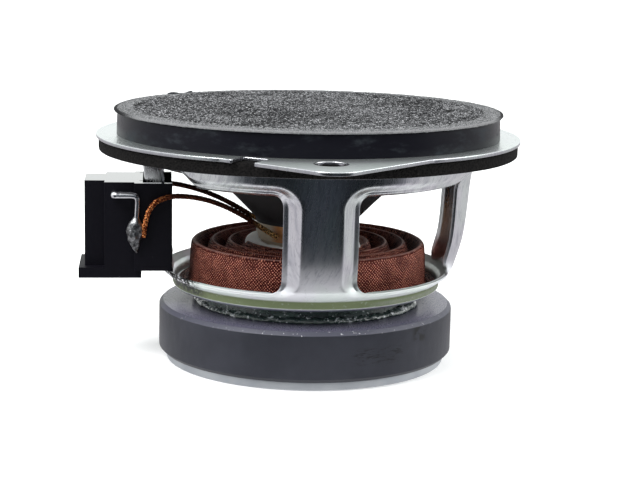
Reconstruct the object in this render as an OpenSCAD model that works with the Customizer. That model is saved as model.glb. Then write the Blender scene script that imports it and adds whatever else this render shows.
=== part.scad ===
// Small cone loudspeaker of the kind fitted in a car dashboard.
// Origin: centre of the back plate's rear face. +Z points out of the front screen,
// the two mounting ears lie on -Y and +Y, and the connector is clipped to the leg on -X.

/* [Magnet system] */
// Radius of the ferrite ring magnet
magnet_r = 30; // [28.6:0.1:33]
// Thickness of the ferrite ring magnet
magnet_h = 10; // [8:0.5:13]
// Radius of the hole through the magnet
magnet_bore_r = 13; // [11.5:0.1:16]
// Chamfer on the magnet's outer edges
magnet_chamfer = 0.7; // [0.3:0.1:1.2]
// Radius of the steel back plate
back_plate_r = 28.5; // [24:0.1:29.5]
// Thickness of the steel back plate
back_plate_t = 1.8; // [1.5:0.1:4]
// Depth of the round seat that the pole is pressed into
pole_seat_depth = 0.8; // [0.4:0.1:1.2]
// Radius of the steel pole in the middle of the magnet
pole_r = 9.35; // [8.6:0.05:9.6]
// How far the pole stands above the top plate
pole_rise = 0.6; // [0:0.1:2]
// Radius of the steel top plate
top_plate_r = 22; // [20.5:0.1:25]
// Thickness of the steel top plate
top_plate_t = 3.2; // [2.5:0.1:5]
// Width of the bead of glue around the top plate's foot
glue_bead_w = 1.1; // [0.6:0.1:1.6]

/* [Basket] */
// Thickness of the basket's steel sheet
sheet_t = 0.7; // [0.5:0.05:1]
// Radius of the basket where its floor turns up
foot_r = 27.3; // [26.8:0.1:28.2]
// Height of the short upright wall above the basket's floor
foot_h = 2.0; // [1.5:0.1:2.8]
// How far the basket widens from its foot to the lower edge of the windows
sill_step = 2.5; // [1.9:0.1:2.8]
// Height of the windows' lower edge above the basket's floor
sill_h = 3.8; // [3.2:0.1:4.6]
// How far the legs widen from the windows' lower edge to their low bend
leg_low_step = 1.3; // [0.6:0.1:1.8]
// Height of the legs' low bend above the basket's floor
leg_low_h = 7.2; // [6:0.1:8]
// How far the legs widen from their low bend to their middle bend
leg_mid_step = 1.3; // [0.6:0.1:1.8]
// Height of the legs' middle bend above the basket's floor
leg_mid_h = 13.6; // [12:0.1:15]
// How far the legs widen from their middle bend to the windows' upper edge
head_step = 0.8; // [0.3:0.1:1.2]
// Height of the windows, between their lower and upper edges
window_h = 19.1; // [17:0.1:20.5]
// How far the basket widens from the windows' upper edge to its flange
neck_step = 0.7; // [0.3:0.1:1.4]
// Height of the flange's underside above the basket's floor
flange_h = 30.3; // [28.4:0.1:33]
// Size of the bend between the wall and the flange
flange_bend = 0.9; // [0.5:0.1:1.3]
// Width of each of the four legs
leg_w = 14.3; // [11:0.1:16]
// How deep each leg's sides turn inwards, from the leg's outer face
leg_return = 3.0; // [1.8:0.1:3.4]
// Radius of the rounded window corners
window_corner_r = 3; // [1.5:0.1:4]
// How far the windows beside the connector's leg reach up further, to let the leads through
lead_room_h = 2.4; // [1:0.1:2.8]
// Sideways distance from that leg's middle to where the windows' raised edge starts to fall
lead_room_y = 19; // [14:0.5:20]
// Radius of the rivets that hold the basket to the top plate
rivet_r = 1.4; // [1:0.1:1.8]
// Radius of the rivets' heads
rivet_head_r = 2.4; // [2.2:0.1:3]
// Height of the rivets' heads
rivet_head_h = 0.9; // [0.5:0.1:1.4]
// Distance of the rivets from the middle
rivet_circle_r = 17; // [15.5:0.1:18]

/* [Flange and ears] */
// How far the round flange stands out past the raised front ring
flange_margin = 4.1; // [3.2:0.1:8]
// How far each ear's screw hole lies outside the round flange's edge
ear_hole_reach = 1.9; // [1.7:0.1:3.7]
// Radius of the ears' screw holes
ear_hole_r = 3.1; // [2.1:0.05:3.4]
// Distance from the flange's edge to the point where an ear's two 45 degree flanks would meet
ear_apex_reach = 14.5; // [13.7:0.1:17.7]
// Radius of the ears' rounded tips
ear_tip_r = 5.3; // [4.5:0.1:7]
// Width of the notch beside each ear
notch_w = 5.2; // [2:0.1:6]
// Angle by which each notch leans away from its ear
notch_angle = 33; // [28:1:40]
// Sideways distance from an ear's middle to the inner end of its notch
notch_side = 12.8; // [12.4:0.1:14]
// How deep each notch reaches into the round flange
notch_depth = 5.2; // [1:0.1:5.4]

/* [Front] */
// How far the foam gasket's edge lies inside the flange's edge
gasket_inset = 0.5; // [0.1:0.1:2]
// Gap between the gasket's hole and the bend under the flange
gasket_bore_gap = 0.8; // [0.3:0.1:2]
// Thickness of the gasket
gasket_t = 2.5; // [2:0.1:4]
// Width of the raised front ring
ring_w = 4.4; // [3.8:0.1:4.8]
// Height of the raised front ring
ring_h = 4.5; // [4.5:0.1:7]
// Width of the rim that carries the ring outside the surround
ring_rim_w = 0.7; // [0.5:0.1:1]
// Thickness of the felt screen
screen_t = 0.65; // [0.4:0.05:1]
// How far the felt screen overhangs the ring
screen_overhang = 0.5; // [0:0.1:1]
// Direction of the two small locating lugs that rise through the screen's edge
lug_angle = 132; // [100:1:160]
// Width of each locating lug
lug_w = 3.2; // [1.2:0.1:3.6]
// Thickness of the locating lugs, from the ring's outer face inwards
lug_t = 0.9; // [0.6:0.1:1.2]
// How far the locating lugs stand above the screen
lug_rise = 0.25; // [0.2:0.05:1]

/* [Moving parts] */
// Thickness of the former
former_t = 0.3; // [0.2:0.05:0.35]
// Thickness of the wire on the former
winding_t = 0.35; // [0.2:0.05:0.45]
// Height of the wire on the former
winding_h = 6; // [4.5:0.1:7]
// Height of the former's upper end above the basket's floor
former_top_h = 14.6; // [13.8:0.1:15.4]
// How far the cone's neck comes down the outside of the former
neck_overlap = 1.4; // [1:0.1:2]
// Height of the cone's straight neck, below its bowl
neck_h = 0.8; // [0.4:0.1:1.2]
// Thickness of the cone's paper
cone_t = 0.45; // [0.3:0.05:0.6]
// Width of the surround's roll, between the cone and the front ring
roll_w = 5.4; // [5:0.1:5.8]
// Width of the cone's flat lip
cone_lip_w = 1.3; // [1:0.1:1.6]
// How far the cone's lip lies below the top of the flange
cone_drop = 0.6; // [0.4:0.1:1]
// Radius of the dust cap
cap_r = 12.4; // [11.5:0.1:14]
// Height of the dust cap's dome
cap_rise = 3.2; // [2:0.1:4]
// Height of the surround's roll
roll_h = 2.2; // [1.8:0.1:2.5]
// Thickness of the surround
surround_t = 0.4; // [0.3:0.05:0.5]
// Gap between the spider's ridges and the paper collar above them
collar_gap = 0.7; // [0.4:0.1:1.2]
// Thickness of the paper collar
collar_t = 0.3; // [0.2:0.05:0.4]

/* [Spider] */
// Width of the spider's glued foot
spider_foot_w = 1.6; // [1:0.1:2]
// How far the spider's wall leans in from its foot to its outermost ridge
spider_lean = 1.6; // [1.2:0.1:2.2]
// Height of the spider's ridges above the basket's floor
spider_h = 9.2; // [7.5:0.1:9.6]
// Distance from one ridge of the spider to the next
spider_pitch = 3.6; // [3.4:0.05:3.8]
// Depth of the spider's valleys
spider_depth = 3; // [1.6:0.1:3.4]
// Thickness of the spider's cloth
spider_t = 0.45; // [0.3:0.05:0.55]

/* [Connector] */
// Height of the connector's housing
housing_h = 17.6; // [16.6:0.1:17.8]
// Gap between the lower edge of the windows and the housing's cheeks
housing_lift = 0.4; // [0.3:0.1:0.9]
// How far the housing stands out from the leg
housing_reach = 11.7; // [11.2:0.1:13.6]
// Length of the housing's narrow outer part
narrow_len = 4; // [3:0.1:4.6]
// How far the cheeks start outside the leg
cheek_start = 1.8; // [1.5:0.1:2.4]
// Length of the cheeks beside the leg
cheek_len = 7.5; // [6:0.1:8]
// Half the width of the narrow outer part
narrow_half_w = 4.65; // [4.2:0.05:5.4]
// Half the width of the middle part
middle_half_w = 7; // [6:0.1:7.6]
// Thickness of the cheeks beside the leg
cheek_t = 1.05; // [0.8:0.05:1.4]
// Height of the flanged mouth below the housing
mouth_h = 1.7; // [1.2:0.1:1.9]
// How far the mouth's flange stands out at the outer end
mouth_lip = 1.15; // [0.6:0.05:1.4]
// Gap between the mouth's flange and the leg
mouth_gap = 0.4; // [0.3:0.1:0.9]
// Wall thickness around the socket
socket_wall = 1.1; // [0.8:0.05:1.3]
// Depth of the socket from its mouth
socket_depth = 13.4; // [11:0.1:14]
// Radius of the round terminals
pin_r = 0.5; // [0.4:0.05:0.6]
// Distance of each terminal in the socket from the housing's middle
pin_half_pitch = 2.5; // [1.6:0.1:2.8]
// Distance of the terminals from the housing's outer end
pin_set_back = 6; // [5.4:0.1:6.6]
// Length of the terminals' runs along the housing's sides
pin_run = 4.4; // [4:0.1:5]
// Depth of the terminals' cross bars below the housing's top
pin_drop = 2.3; // [1.5:0.1:2.6]
// Length of each terminal's outer end, down to its tip
tail_h = 8.9; // [8:0.1:10.5]
// How far the terminals' ends stay inside the socket's mouth
pin_recess = 4; // [2:0.1:6]
// Length of each solder joint
solder_h = 7; // [5:0.1:7.5]
// Radius of each solder joint at its thickest
solder_r = 1.45; // [0.9:0.05:1.5]
// Radius of the braided leads
lead_r = 0.55; // [0.4:0.05:0.7]

/* [Clearances] */
// Gap between the coil and the steel on each side
coil_gap = 0.35; // [0.3:0.01:0.45]
// Gap between the moving pieces and the soft parts that join them to the basket
soft_gap = 0.3; // [0.25:0.01:0.4]
// Gap in a pressed or glued round fit
fit_gap = 0.02; // [0.01:0.01:0.05]
// Gap between the connector and the leg that it is clipped to
clip_gap = 0.15; // [0.1:0.01:0.3]

/* [Hidden] */
$fn = 96;

// Heights, each stacked on the piece below.
magnet_z = back_plate_t;
top_plate_z = magnet_z + magnet_h;
floor_z = top_plate_z + top_plate_t;
deck_z = floor_z + sheet_t;
foot_z = floor_z + foot_h;
sill_z = floor_z + sill_h;
head_z = sill_z + window_h;
flange_z = floor_z + flange_h;
flange_top_z = flange_z + sheet_t;
ring_top_z = flange_top_z + ring_h;
screen_top_z = ring_top_z + screen_t;
past = 1;
far = 80;
slim_gap = 0.15;

// The voice coil sits in the gap between the pole and the top plate.
former_r = pole_r + coil_gap;
former_out_r = former_r + former_t;
winding_out_r = former_out_r + winding_t;
plate_bore_r = winding_out_r + coil_gap;
coil_mid_z = top_plate_z + top_plate_t / 2;
coil_low_z = coil_mid_z - winding_h / 2;
former_top_z = floor_z + former_top_h;
former_margin = 0.4;
former_low_z = coil_low_z - former_margin;
tail_w = 0.8;
tail_angle = 8;
neck_low_z = former_top_z - neck_overlap;

// The basket's outer line from its floor up to its flange, as radius and height.
sill_r = foot_r + sill_step;
leg_low_r = sill_r + leg_low_step;
leg_mid_r = leg_low_r + leg_mid_step;
head_r = leg_mid_r + head_step;
neck_r = head_r + neck_step;
wall_line = [
    [foot_r, floor_z], [foot_r, foot_z], [sill_r, sill_z], [leg_low_r, floor_z + leg_low_h],
    [leg_mid_r, floor_z + leg_mid_h], [head_r, head_z], [neck_r, flange_z - flange_bend], [neck_r, flange_z]];
bore_step = 1.5;
basket_bore_r = plate_bore_r + bore_step;
basket_mouth_r = neck_r - sheet_t;

// The surround's landing lies under the front ring, in a rebate.
landing_step = 0.6;
landing_in_r = basket_mouth_r + landing_step;
ring_bore_r = landing_in_r + surround_t;
ring_r = ring_bore_r + ring_w;
landing_out_r = ring_r - ring_rim_w - fit_gap;
rebate_h = surround_t + fit_gap;
cone_lip_r = landing_in_r - roll_w;
roll_mid_r = landing_in_r - roll_w / 2;

// The flange stands out past the front ring, and the gasket lies under it.
flange_r = ring_r + flange_margin;
gasket_r = flange_r - gasket_inset;
gasket_bore_r = neck_r + flange_bend + gasket_bore_gap;
ear_hole_circle_r = flange_r + ear_hole_reach;
ear_apex_r = flange_r + ear_apex_reach;
cone_lip_z = flange_top_z - cone_drop;

// The cone's bowl bends at its belly, between the throat and the flat lip.
cone_neck_in_r = former_out_r + fit_gap;
cone_neck_out_r = cone_neck_in_r + cone_t;
cone_bowl_r = cone_lip_r - cone_lip_w;
cone_throat_z = neck_low_z + neck_h;
belly_share = [0.3, 0.28];
cone_belly = [
    cone_neck_out_r + (cone_bowl_r - cone_neck_out_r) * belly_share.x,
    cone_throat_z + (cone_lip_z - cone_throat_z) * belly_share.y];
belly_slope = (cone_belly.y - cone_throat_z) / (cone_belly.x - cone_neck_out_r);

// The spider's ridges, from the outermost one to the former.
spider_foot_r = foot_r - sheet_t - soft_gap;
spider_wall_r = spider_foot_r - spider_foot_w;
spider_ridge_r = spider_wall_r - spider_lean;
spider_in_r = former_out_r + soft_gap;
spider_top_z = floor_z + spider_h;
spider_steps = 8;
spider_rolls = floor((spider_ridge_r - spider_in_r) / spider_pitch);
spider_edge_z = spider_top_z - spider_depth / 6;
collar_low_z = spider_top_z + collar_gap;

// The connector on the leg that points along -X.
housing_end_x = head_r + housing_reach;
housing_step_x = housing_end_x - narrow_len;
housing_cheek_x = head_r + cheek_start;
housing_inner_x = housing_cheek_x - cheek_len;
mouth_inner_x = head_r + mouth_gap;
pin_x = housing_end_x - pin_set_back;
tail_x = pin_x - pin_run;
housing_z = sill_z + housing_lift;
housing_top_z = housing_z + housing_h;
mouth_z = housing_z - mouth_h;
channel_half_w = leg_w / 2 + clip_gap;
cheek_half_w = channel_half_w + cheek_t;
pin_z = housing_top_z - pin_drop;
pin_side_y = cheek_half_w + pin_r + slim_gap;
socket_top_z = mouth_z + socket_depth;
hook_drop = 6;
hook_inset = 0.5;
hook_z = head_z - hook_drop;
hook_h = housing_top_z - hook_z - hook_inset;
hook_reach = 0.9;
hook_t = 0.8;

// The leads' routes, in the rear lead's half: from the solder joint, over the housing's edge, through
// the window and down beside the former. The front lead is drawn mirrored, and hangs less.
lead_front_points = [
    [-33.2, 9.3, 26.2], [-32.9, 9.3, 28.6], [-32.1, 9.3, 31.4], [-30.6, 9.3, 33.3], [-27.8, 9.2, 34.3],
    [-24.4, 9.1, 34.3], [-20.6, 9, 33.6], [-16.8, 8.9, 32.2], [-13.2, 8.8, 30.3], [-10, 8.8, 28.2],
    [-6.6, 9.1, 26.1]];
lead_rear_points = [
    [-33.2, 9.3, 26.2], [-32.9, 9.3, 28.6], [-32.1, 9.3, 31.4], [-30.6, 9.3, 33.3], [-27.8, 9.2, 34.1],
    [-24.4, 9.1, 33.6], [-20.6, 9, 32.5], [-16.8, 8.9, 30.9], [-13.2, 8.8, 29], [-10, 8.8, 27.1],
    [-6.6, 9.1, 25.8]];
lead_steps = 3;
lead_sides = 8;

// A smooth curve through a list of points, with a few steps between each pair.
function spline_at(p0, p1, p2, p3, s) = 0.5 * (2 * p1 + (p2 - p0) * s
    + (2 * p0 - 5 * p1 + 4 * p2 - p3) * s * s + (3 * p1 - p0 - 3 * p2 + p3) * s * s * s);
function spline(p, steps) = let (last = len(p) - 1) concat(
    [for (i = [0 : last - 1], k = [0 : steps - 1])
        spline_at(p[max(i - 1, 0)], p[i], p[i + 1], p[min(i + 2, last)], k / steps)],
    [p[last]]);
function unit(v) = v / norm(v);

// ---- helpers ----

// A ring or disc between two radii.
module ring_solid(outer, inner, h) {
    difference() {
        cylinder(r = outer, h = h);
        translate([0, 0, -past]) cylinder(r = inner, h = h + 2 * past);
    }
}

// The same piece at each of the four legs.
module at_legs() {
    for (a = [0 : 90 : 270]) rotate([0, 0, a]) children();
}

// The same piece on the front and the rear side of the connector.
module on_side(rear) {
    if (rear) children();
    else mirror([0, 1, 0]) children();
}

// A round bar along one axis with a ball at each end.
module bar(from, to, r) {
    span = to - from;
    turn = span.x != 0 ? [0, 90, 0] : span.y != 0 ? [-90, 0, 0] : [0, 0, 0];
    translate([min(from.x, to.x), min(from.y, to.y), min(from.z, to.z)])
        rotate(turn) cylinder(r = r, h = norm(span), $fn = 32);
    for (p = [from, to]) translate(p) sphere(r = r, $fn = 32);
}

// A box given by its low and high corners.
module block(low, high) {
    translate(low) cube(high - low);
}

// ---- magnet system ----

module back_plate() {
    color("silver") difference() {
        cylinder(r = back_plate_r, h = back_plate_t);
        translate([0, 0, back_plate_t - pole_seat_depth])
            cylinder(r = pole_r + fit_gap, h = pole_seat_depth + past);
    }
}

module pole_piece() {
    pole_z = back_plate_t - pole_seat_depth;
    color("silver") translate([0, 0, pole_z])
        cylinder(r = pole_r, h = floor_z + pole_rise - pole_z);
}

module magnet() {
    c = magnet_chamfer;
    color("dimgray") rotate_extrude() polygon([
        [magnet_bore_r, magnet_z], [magnet_r - c, magnet_z], [magnet_r, magnet_z + c],
        [magnet_r, top_plate_z - c], [magnet_r - c, top_plate_z], [magnet_bore_r, top_plate_z]]);
}

module top_plate() {
    color("darkslategray") difference() {
        translate([0, 0, top_plate_z]) ring_solid(top_plate_r, plate_bore_r, top_plate_t);
        rivet_shanks(rivet_r + fit_gap, top_plate_z - past);
    }
}

module plate_glue() {
    r = top_plate_r + fit_gap;
    color("gainsboro") rotate_extrude() polygon([
        [r, top_plate_z], [r + glue_bead_w, top_plate_z],
        [r + glue_bead_w / 3, top_plate_z + glue_bead_w / 2], [r, top_plate_z + glue_bead_w]]);
}

// ---- basket ----

// The sheet's section: along the outer line and back along the inner one.
module wall_section(depth) {
    inner = [for (i = [len(wall_line) - 1 : -1 : 1]) wall_line[i] - [depth, 0]];
    polygon(concat(wall_line, inner, [[foot_r - depth, floor_z]]));
}

// One leg's outline seen from outside, flared where it meets the rings above and below.
module leg_outline(flare) {
    half = leg_w / 2;
    translate([-half, sill_z - past]) square([leg_w, window_h + 2 * past]);
    if (flare > 0) for (side = [-1, 1], edge = [0, 1]) {
        z = edge == 0 ? sill_z : head_z - flare;
        centre_z = edge == 0 ? sill_z + flare : head_z - flare;
        difference() {
            translate([side > 0 ? half - past : -half - flare, edge == 0 ? z - past : z])
                square([flare + past, flare + past]);
            translate([side * (half + flare), centre_z]) circle(r = flare);
        }
    }
}

module leg_mask(flare) {
    rotate([90, 0, 90]) translate([0, 0, leg_low_r / 2]) linear_extrude(leg_low_r) leg_outline(flare);
}

// The raised part of the two windows beside the connector's leg, falling away from it.
module lead_room() {
    half = leg_w / 2;
    fall = 1.6 * lead_room_h;
    for (side = [-1, 1]) rotate([90, 0, -90]) translate([0, 0, leg_low_r / 2])
        linear_extrude(leg_low_r) polygon([
            [side * half, head_z - past], [side * half, head_z + lead_room_h],
            [side * lead_room_y, head_z + lead_room_h], [side * (lead_room_y + fall), head_z],
            [side * (lead_room_y + fall), head_z - past]]);
}

// The four windows: a ring between the sill and the head, less the legs.
module windows() {
    lead_room();
    difference() {
        translate([0, 0, sill_z]) ring_solid(neck_r + past, foot_r - leg_return - past, window_h);
        for (a = [0, 90, 270]) rotate([0, 0, a]) leg_mask(window_corner_r);
        rotate([0, 0, 180]) leg_mask(0);
    }
}

// The legs' turned-in sides.
module leg_returns() {
    half = leg_w / 2;
    intersection() {
        rotate_extrude() wall_section(leg_return);
        at_legs() for (side = [-1, 1])
            translate([leg_low_r / 2, side > 0 ? half - sheet_t : -half, sill_z])
                cube([leg_low_r, sheet_t, window_h]);
    }
}

// One ear's outline pointing along -Y, with its hole and the notch beside it.
module ear_outline() {
    tip_y = ear_apex_r - ear_tip_r * sqrt(2);
    tangent = ear_tip_r / sqrt(2);
    root = ear_apex_r / 2;
    polygon([
        [0, 0], [-root, -root], [-tangent, -tip_y - tangent], [tangent, -tip_y - tangent], [root, -root]]);
    translate([0, -tip_y]) circle(r = ear_tip_r);
}

module ear_cuts() {
    translate([0, -ear_hole_circle_r]) circle(r = ear_hole_r);
    translate([-notch_side, notch_depth - flange_r]) rotate(-notch_angle)
        translate([-notch_w / 2, -2 * notch_w]) square([notch_w, 2 * notch_w]);
}

module flange() {
    translate([0, 0, flange_z]) linear_extrude(sheet_t) difference() {
        union() {
            circle(r = flange_r);
            for (a = [0, 180]) rotate(a) ear_outline();
        }
        circle(r = basket_mouth_r);
        for (a = [0, 180]) rotate(a) ear_cuts();
    }
}

// The fillet that stands for the bend from the wall into the flange.
module flange_fillet() {
    rotate_extrude() polygon([
        [neck_r - sheet_t / 2, flange_z - flange_bend], [neck_r, flange_z - flange_bend],
        [neck_r + flange_bend * 0.3, flange_z - flange_bend * 0.3], [neck_r + flange_bend, flange_z],
        [neck_r + flange_bend, flange_z + sheet_t / 2], [neck_r - sheet_t / 2, flange_z + sheet_t / 2]]);
}

module basket() {
    color("lightgray") {
        difference() {
            rotate_extrude() wall_section(sheet_t);
            windows();
        }
        leg_returns();
        difference() {
            translate([0, 0, floor_z]) ring_solid(foot_r, basket_bore_r, sheet_t);
            rivet_shanks(rivet_r + fit_gap, floor_z - past);
        }
        flange();
        flange_fillet();
    }
}

// The shanks' cylinders, from a given height up past the basket's floor.
module rivet_shanks(r, from_z) {
    at_legs() rotate([0, 0, 45]) translate([rivet_circle_r, 0, from_z])
        cylinder(r = r, h = deck_z - from_z + past, $fn = 48);
}

module basket_rivets() {
    color("silver") at_legs() rotate([0, 0, 45]) translate([rivet_circle_r, 0, 0]) {
        translate([0, 0, top_plate_z + fit_gap])
            cylinder(r = rivet_r, h = deck_z - top_plate_z, $fn = 48);
        translate([0, 0, deck_z]) cylinder(r = rivet_head_r, h = rivet_head_h, $fn = 48);
    }
}

// ---- suspension ----

// Height of the spider's upper face at a radius inside its outermost ridge.
function spider_face_z(r) =
    spider_top_z - spider_depth / 2 * (1 - cos(360 * (spider_ridge_r - r) / spider_pitch));
function spider_radii() =
    [for (i = [0 : spider_rolls * spider_steps]) spider_ridge_r - i * spider_pitch / spider_steps];

module spider() {
    upper = concat(
        [[spider_foot_r, deck_z + spider_t], [spider_wall_r, deck_z + spider_t],
            [spider_ridge_r + spider_pitch / 4, spider_edge_z]],
        [for (r = spider_radii()) [r, spider_face_z(r)]],
        [[spider_in_r, spider_edge_z]]);
    lower = concat(
        [[spider_in_r, spider_edge_z - spider_t]],
        [for (i = [spider_rolls * spider_steps : -1 : 0])
            [spider_radii()[i], spider_face_z(spider_radii()[i]) - spider_t]],
        [[spider_ridge_r + spider_pitch / 4 - spider_t, spider_edge_z - spider_t],
            [spider_wall_r - spider_t, deck_z], [spider_foot_r, deck_z]]);
    color("brown") rotate_extrude() polygon(concat(upper, lower));
}

module surround() {
    color("black") difference() {
        union() {
            rotate_extrude() roll_section((roll_w + surround_t) / 2, roll_h);
            translate([0, 0, flange_top_z]) {
                ring_solid(landing_out_r, landing_in_r - surround_t, surround_t);
                ring_solid(cone_lip_r + surround_t, cone_lip_r - cone_lip_w, surround_t);
            }
        }
        translate([0, 0, -surround_t]) rotate_extrude() roll_section((roll_w - surround_t) / 2, roll_h);
    }
}

// Half an ellipse over the gap between the cone and the flange.
module roll_section(half_w, h) {
    steps = 12;
    translate([roll_mid_r, flange_top_z + surround_t])
        polygon([for (i = [0 : steps]) [half_w * cos(180 * i / steps), h * sin(180 * i / steps)]]);
}

// ---- moving parts ----

module coil_former() {
    color("burlywood") translate([0, 0, former_low_z])
        ring_solid(former_out_r, former_r, former_top_z - former_low_z);
}

module voice_coil() {
    color("sienna") translate([0, 0, coil_low_z])
        ring_solid(winding_out_r, former_out_r + fit_gap, winding_h);
}

// The winding's two ends, flat against the former, up to the collar.
module coil_tails() {
    tail_low_z = coil_low_z + winding_h + fit_gap;
    color("sienna") for (side = [-1, 1]) rotate([0, 0, 180 + side * tail_angle]) intersection() {
        translate([0, 0, tail_low_z])
            ring_solid(former_out_r + fit_gap + winding_t / 2, former_out_r + fit_gap,
                collar_low_z - fit_gap - tail_low_z);
        translate([0, -tail_w / 2, 0]) cube([far, tail_w, far]);
    }
}

module former_collar() {
    color("goldenrod") translate([0, 0, collar_low_z])
        ring_solid(former_out_r + fit_gap + collar_t, former_out_r + fit_gap,
            neck_low_z - fit_gap - collar_low_z);
}

// White glue between the collar and the former's lower part.
module neck_glue() {
    r = former_out_r + fit_gap + collar_t + fit_gap;
    low_z = spider_top_z + soft_gap;
    bead_w = 0.8;
    bead_h = 0.9;
    color("ivory") rotate_extrude() polygon([
        [r, low_z], [r + bead_w, low_z], [r + bead_w / 3, low_z + bead_h / 2], [r, low_z + bead_h]]);
}

// The cone's neck, its flare up to the lip, and the flat lip.
module cone() {
    color("black") rotate_extrude() polygon([
        [cone_neck_in_r, neck_low_z], [cone_neck_out_r, neck_low_z], [cone_neck_out_r, cone_throat_z],
        cone_belly, [cone_bowl_r, cone_lip_z - cone_t], [cone_lip_r, cone_lip_z - cone_t],
        [cone_lip_r, cone_lip_z], [cone_bowl_r - cone_t / 2, cone_lip_z],
        cone_belly + [-cone_t, cone_t / 2], [cone_neck_in_r, cone_throat_z + cone_t]]);
}

// One line of the dust cap's dome, from its edge up to the axis.
function cap_line(r, rise, edge_z, steps = 10) =
    [for (i = [0 : steps]) [r * cos(90 * i / steps), edge_z + rise * sin(90 * i / steps)]];

// A domed cap glued on the cone's inner face.
module dust_cap() {
    edge_z = cone_throat_z + (cap_r - cone_neck_out_r) * belly_slope + 2 * cone_t;
    inner = cap_line(cap_r - cone_t, cap_rise - cone_t, edge_z);
    color("black") rotate_extrude() polygon(concat(
        cap_line(cap_r, cap_rise, edge_z), [for (i = [len(inner) - 1 : -1 : 0]) inner[i]]));
}

// ---- front ----

module rear_gasket() {
    color("black") translate([0, 0, flange_z - gasket_t]) ring_solid(gasket_r, gasket_bore_r, gasket_t);
}

// The sectors that the two lugs fill, grown by a gap on every side.
module lug_blanks(gap, top_z) {
    for (side = [-1, 1]) rotate([0, 0, lug_angle]) intersection() {
        translate([0, 0, ring_top_z - past])
            ring_solid(ring_r + gap, ring_r - lug_t - gap, top_z - ring_top_z + past);
        translate([ring_r / 2, side * (lug_w / 2 + slim_gap) - lug_w / 2 - gap, 0])
            cube([ring_r, lug_w + 2 * gap, far]);
    }
}

module front_ring() {
    color("black") {
        rotate_extrude() polygon([
            [ring_r - ring_rim_w, flange_top_z], [ring_r, flange_top_z], [ring_r, ring_top_z],
            [ring_bore_r, ring_top_z], [ring_bore_r, flange_top_z + rebate_h],
            [ring_r - ring_rim_w, flange_top_z + rebate_h]]);
        lug_blanks(0, screen_top_z + lug_rise);
    }
}

module felt_screen() {
    color("gray") difference() {
        translate([0, 0, ring_top_z]) cylinder(r = ring_r + screen_overhang, h = screen_t);
        lug_blanks(fit_gap, screen_top_z + past);
    }
}

// ---- connector ----

// One full-height step of the housing, between two distances from the axis.
module body_block(outer_x, inner_x, half_w) {
    block([-outer_x, -half_w, housing_z], [-inner_x, half_w, housing_top_z]);
}

module connector_housing() {
    color("black") difference() {
        union() {
            body_block(housing_end_x, housing_step_x - past, narrow_half_w);
            body_block(housing_step_x, housing_cheek_x - past, middle_half_w);
            body_block(housing_cheek_x, housing_inner_x, cheek_half_w);
            block([-housing_end_x - mouth_lip, -middle_half_w, mouth_z],
                [-mouth_inner_x, middle_half_w, housing_z + past]);
        }
        leg_channel();
        socket();
        for (rear = [false, true]) on_side(rear) terminal_shape(pin_r + fit_gap);
    }
    color("black") for (side = [-1, 1]) {
        inner_y = channel_half_w - hook_reach;
        block([-housing_inner_x - hook_t, side > 0 ? inner_y : -channel_half_w - past / 2, hook_z],
            [-housing_inner_x, side > 0 ? channel_half_w + past / 2 : -inner_y, hook_z + hook_h]);
    }
}

// Room for the leg between the cheeks, following the leg's lean.
module leg_channel() {
    wall_x = head_r + clip_gap;
    block([-wall_x, -channel_half_w, housing_z - 2 * past], [0, channel_half_w, housing_top_z + past]);
}

// The space that the mating plug goes into, open at the mouth.
module socket() {
    block([-housing_end_x + socket_wall, -narrow_half_w + socket_wall, mouth_z - past],
        [-housing_step_x + socket_wall + past, narrow_half_w - socket_wall, socket_top_z]);
    block([-housing_step_x + socket_wall, -middle_half_w + socket_wall, mouth_z - past],
        [-head_r - clip_gap - socket_wall, middle_half_w - socket_wall, socket_top_z]);
}

// One terminal: a pin in the socket, out through the side wall, along it and down to its tip.
module terminal_shape(r) {
    inside = [-pin_x, pin_half_pitch, pin_z];
    outside = [-pin_x, pin_side_y, pin_z];
    corner = [-tail_x, pin_side_y, pin_z];
    bar([-pin_x, pin_half_pitch, mouth_z + pin_recess], inside, r);
    bar(inside, outside, r);
    bar(outside, corner, r);
    bar(corner, corner - [0, 0, tail_h], r);
}

module terminal_front() { color("silver") on_side(false) terminal_shape(pin_r); }
module terminal_rear() { color("silver") on_side(true) terminal_shape(pin_r); }

// A drop of solder around a terminal's tip, pointed at its lower end.
module solder_shape() {
    tip_r = 0.3;
    waist_share = 0.6;
    top_z = pin_z - tail_h + solder_h * waist_share;
    low_z = top_z - solder_h;
    difference() {
        translate([-tail_x, pin_side_y, 0]) rotate_extrude($fn = 48) polygon([
            [0, low_z], [tip_r, low_z], [solder_r * 0.75, low_z + solder_h * waist_share / 2],
            [solder_r, low_z + solder_h * waist_share], [solder_r * 0.8, top_z - solder_h / 6],
            [pin_r + slim_gap, top_z], [0, top_z]]);
        terminal_shape(pin_r + fit_gap);
        block([-far, 0, 0], [0, cheek_half_w + fit_gap, far]);
    }
}

module solder_front() { color("silver") on_side(false) solder_shape(); }
module solder_rear() { color("silver") on_side(true) solder_shape(); }

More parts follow.
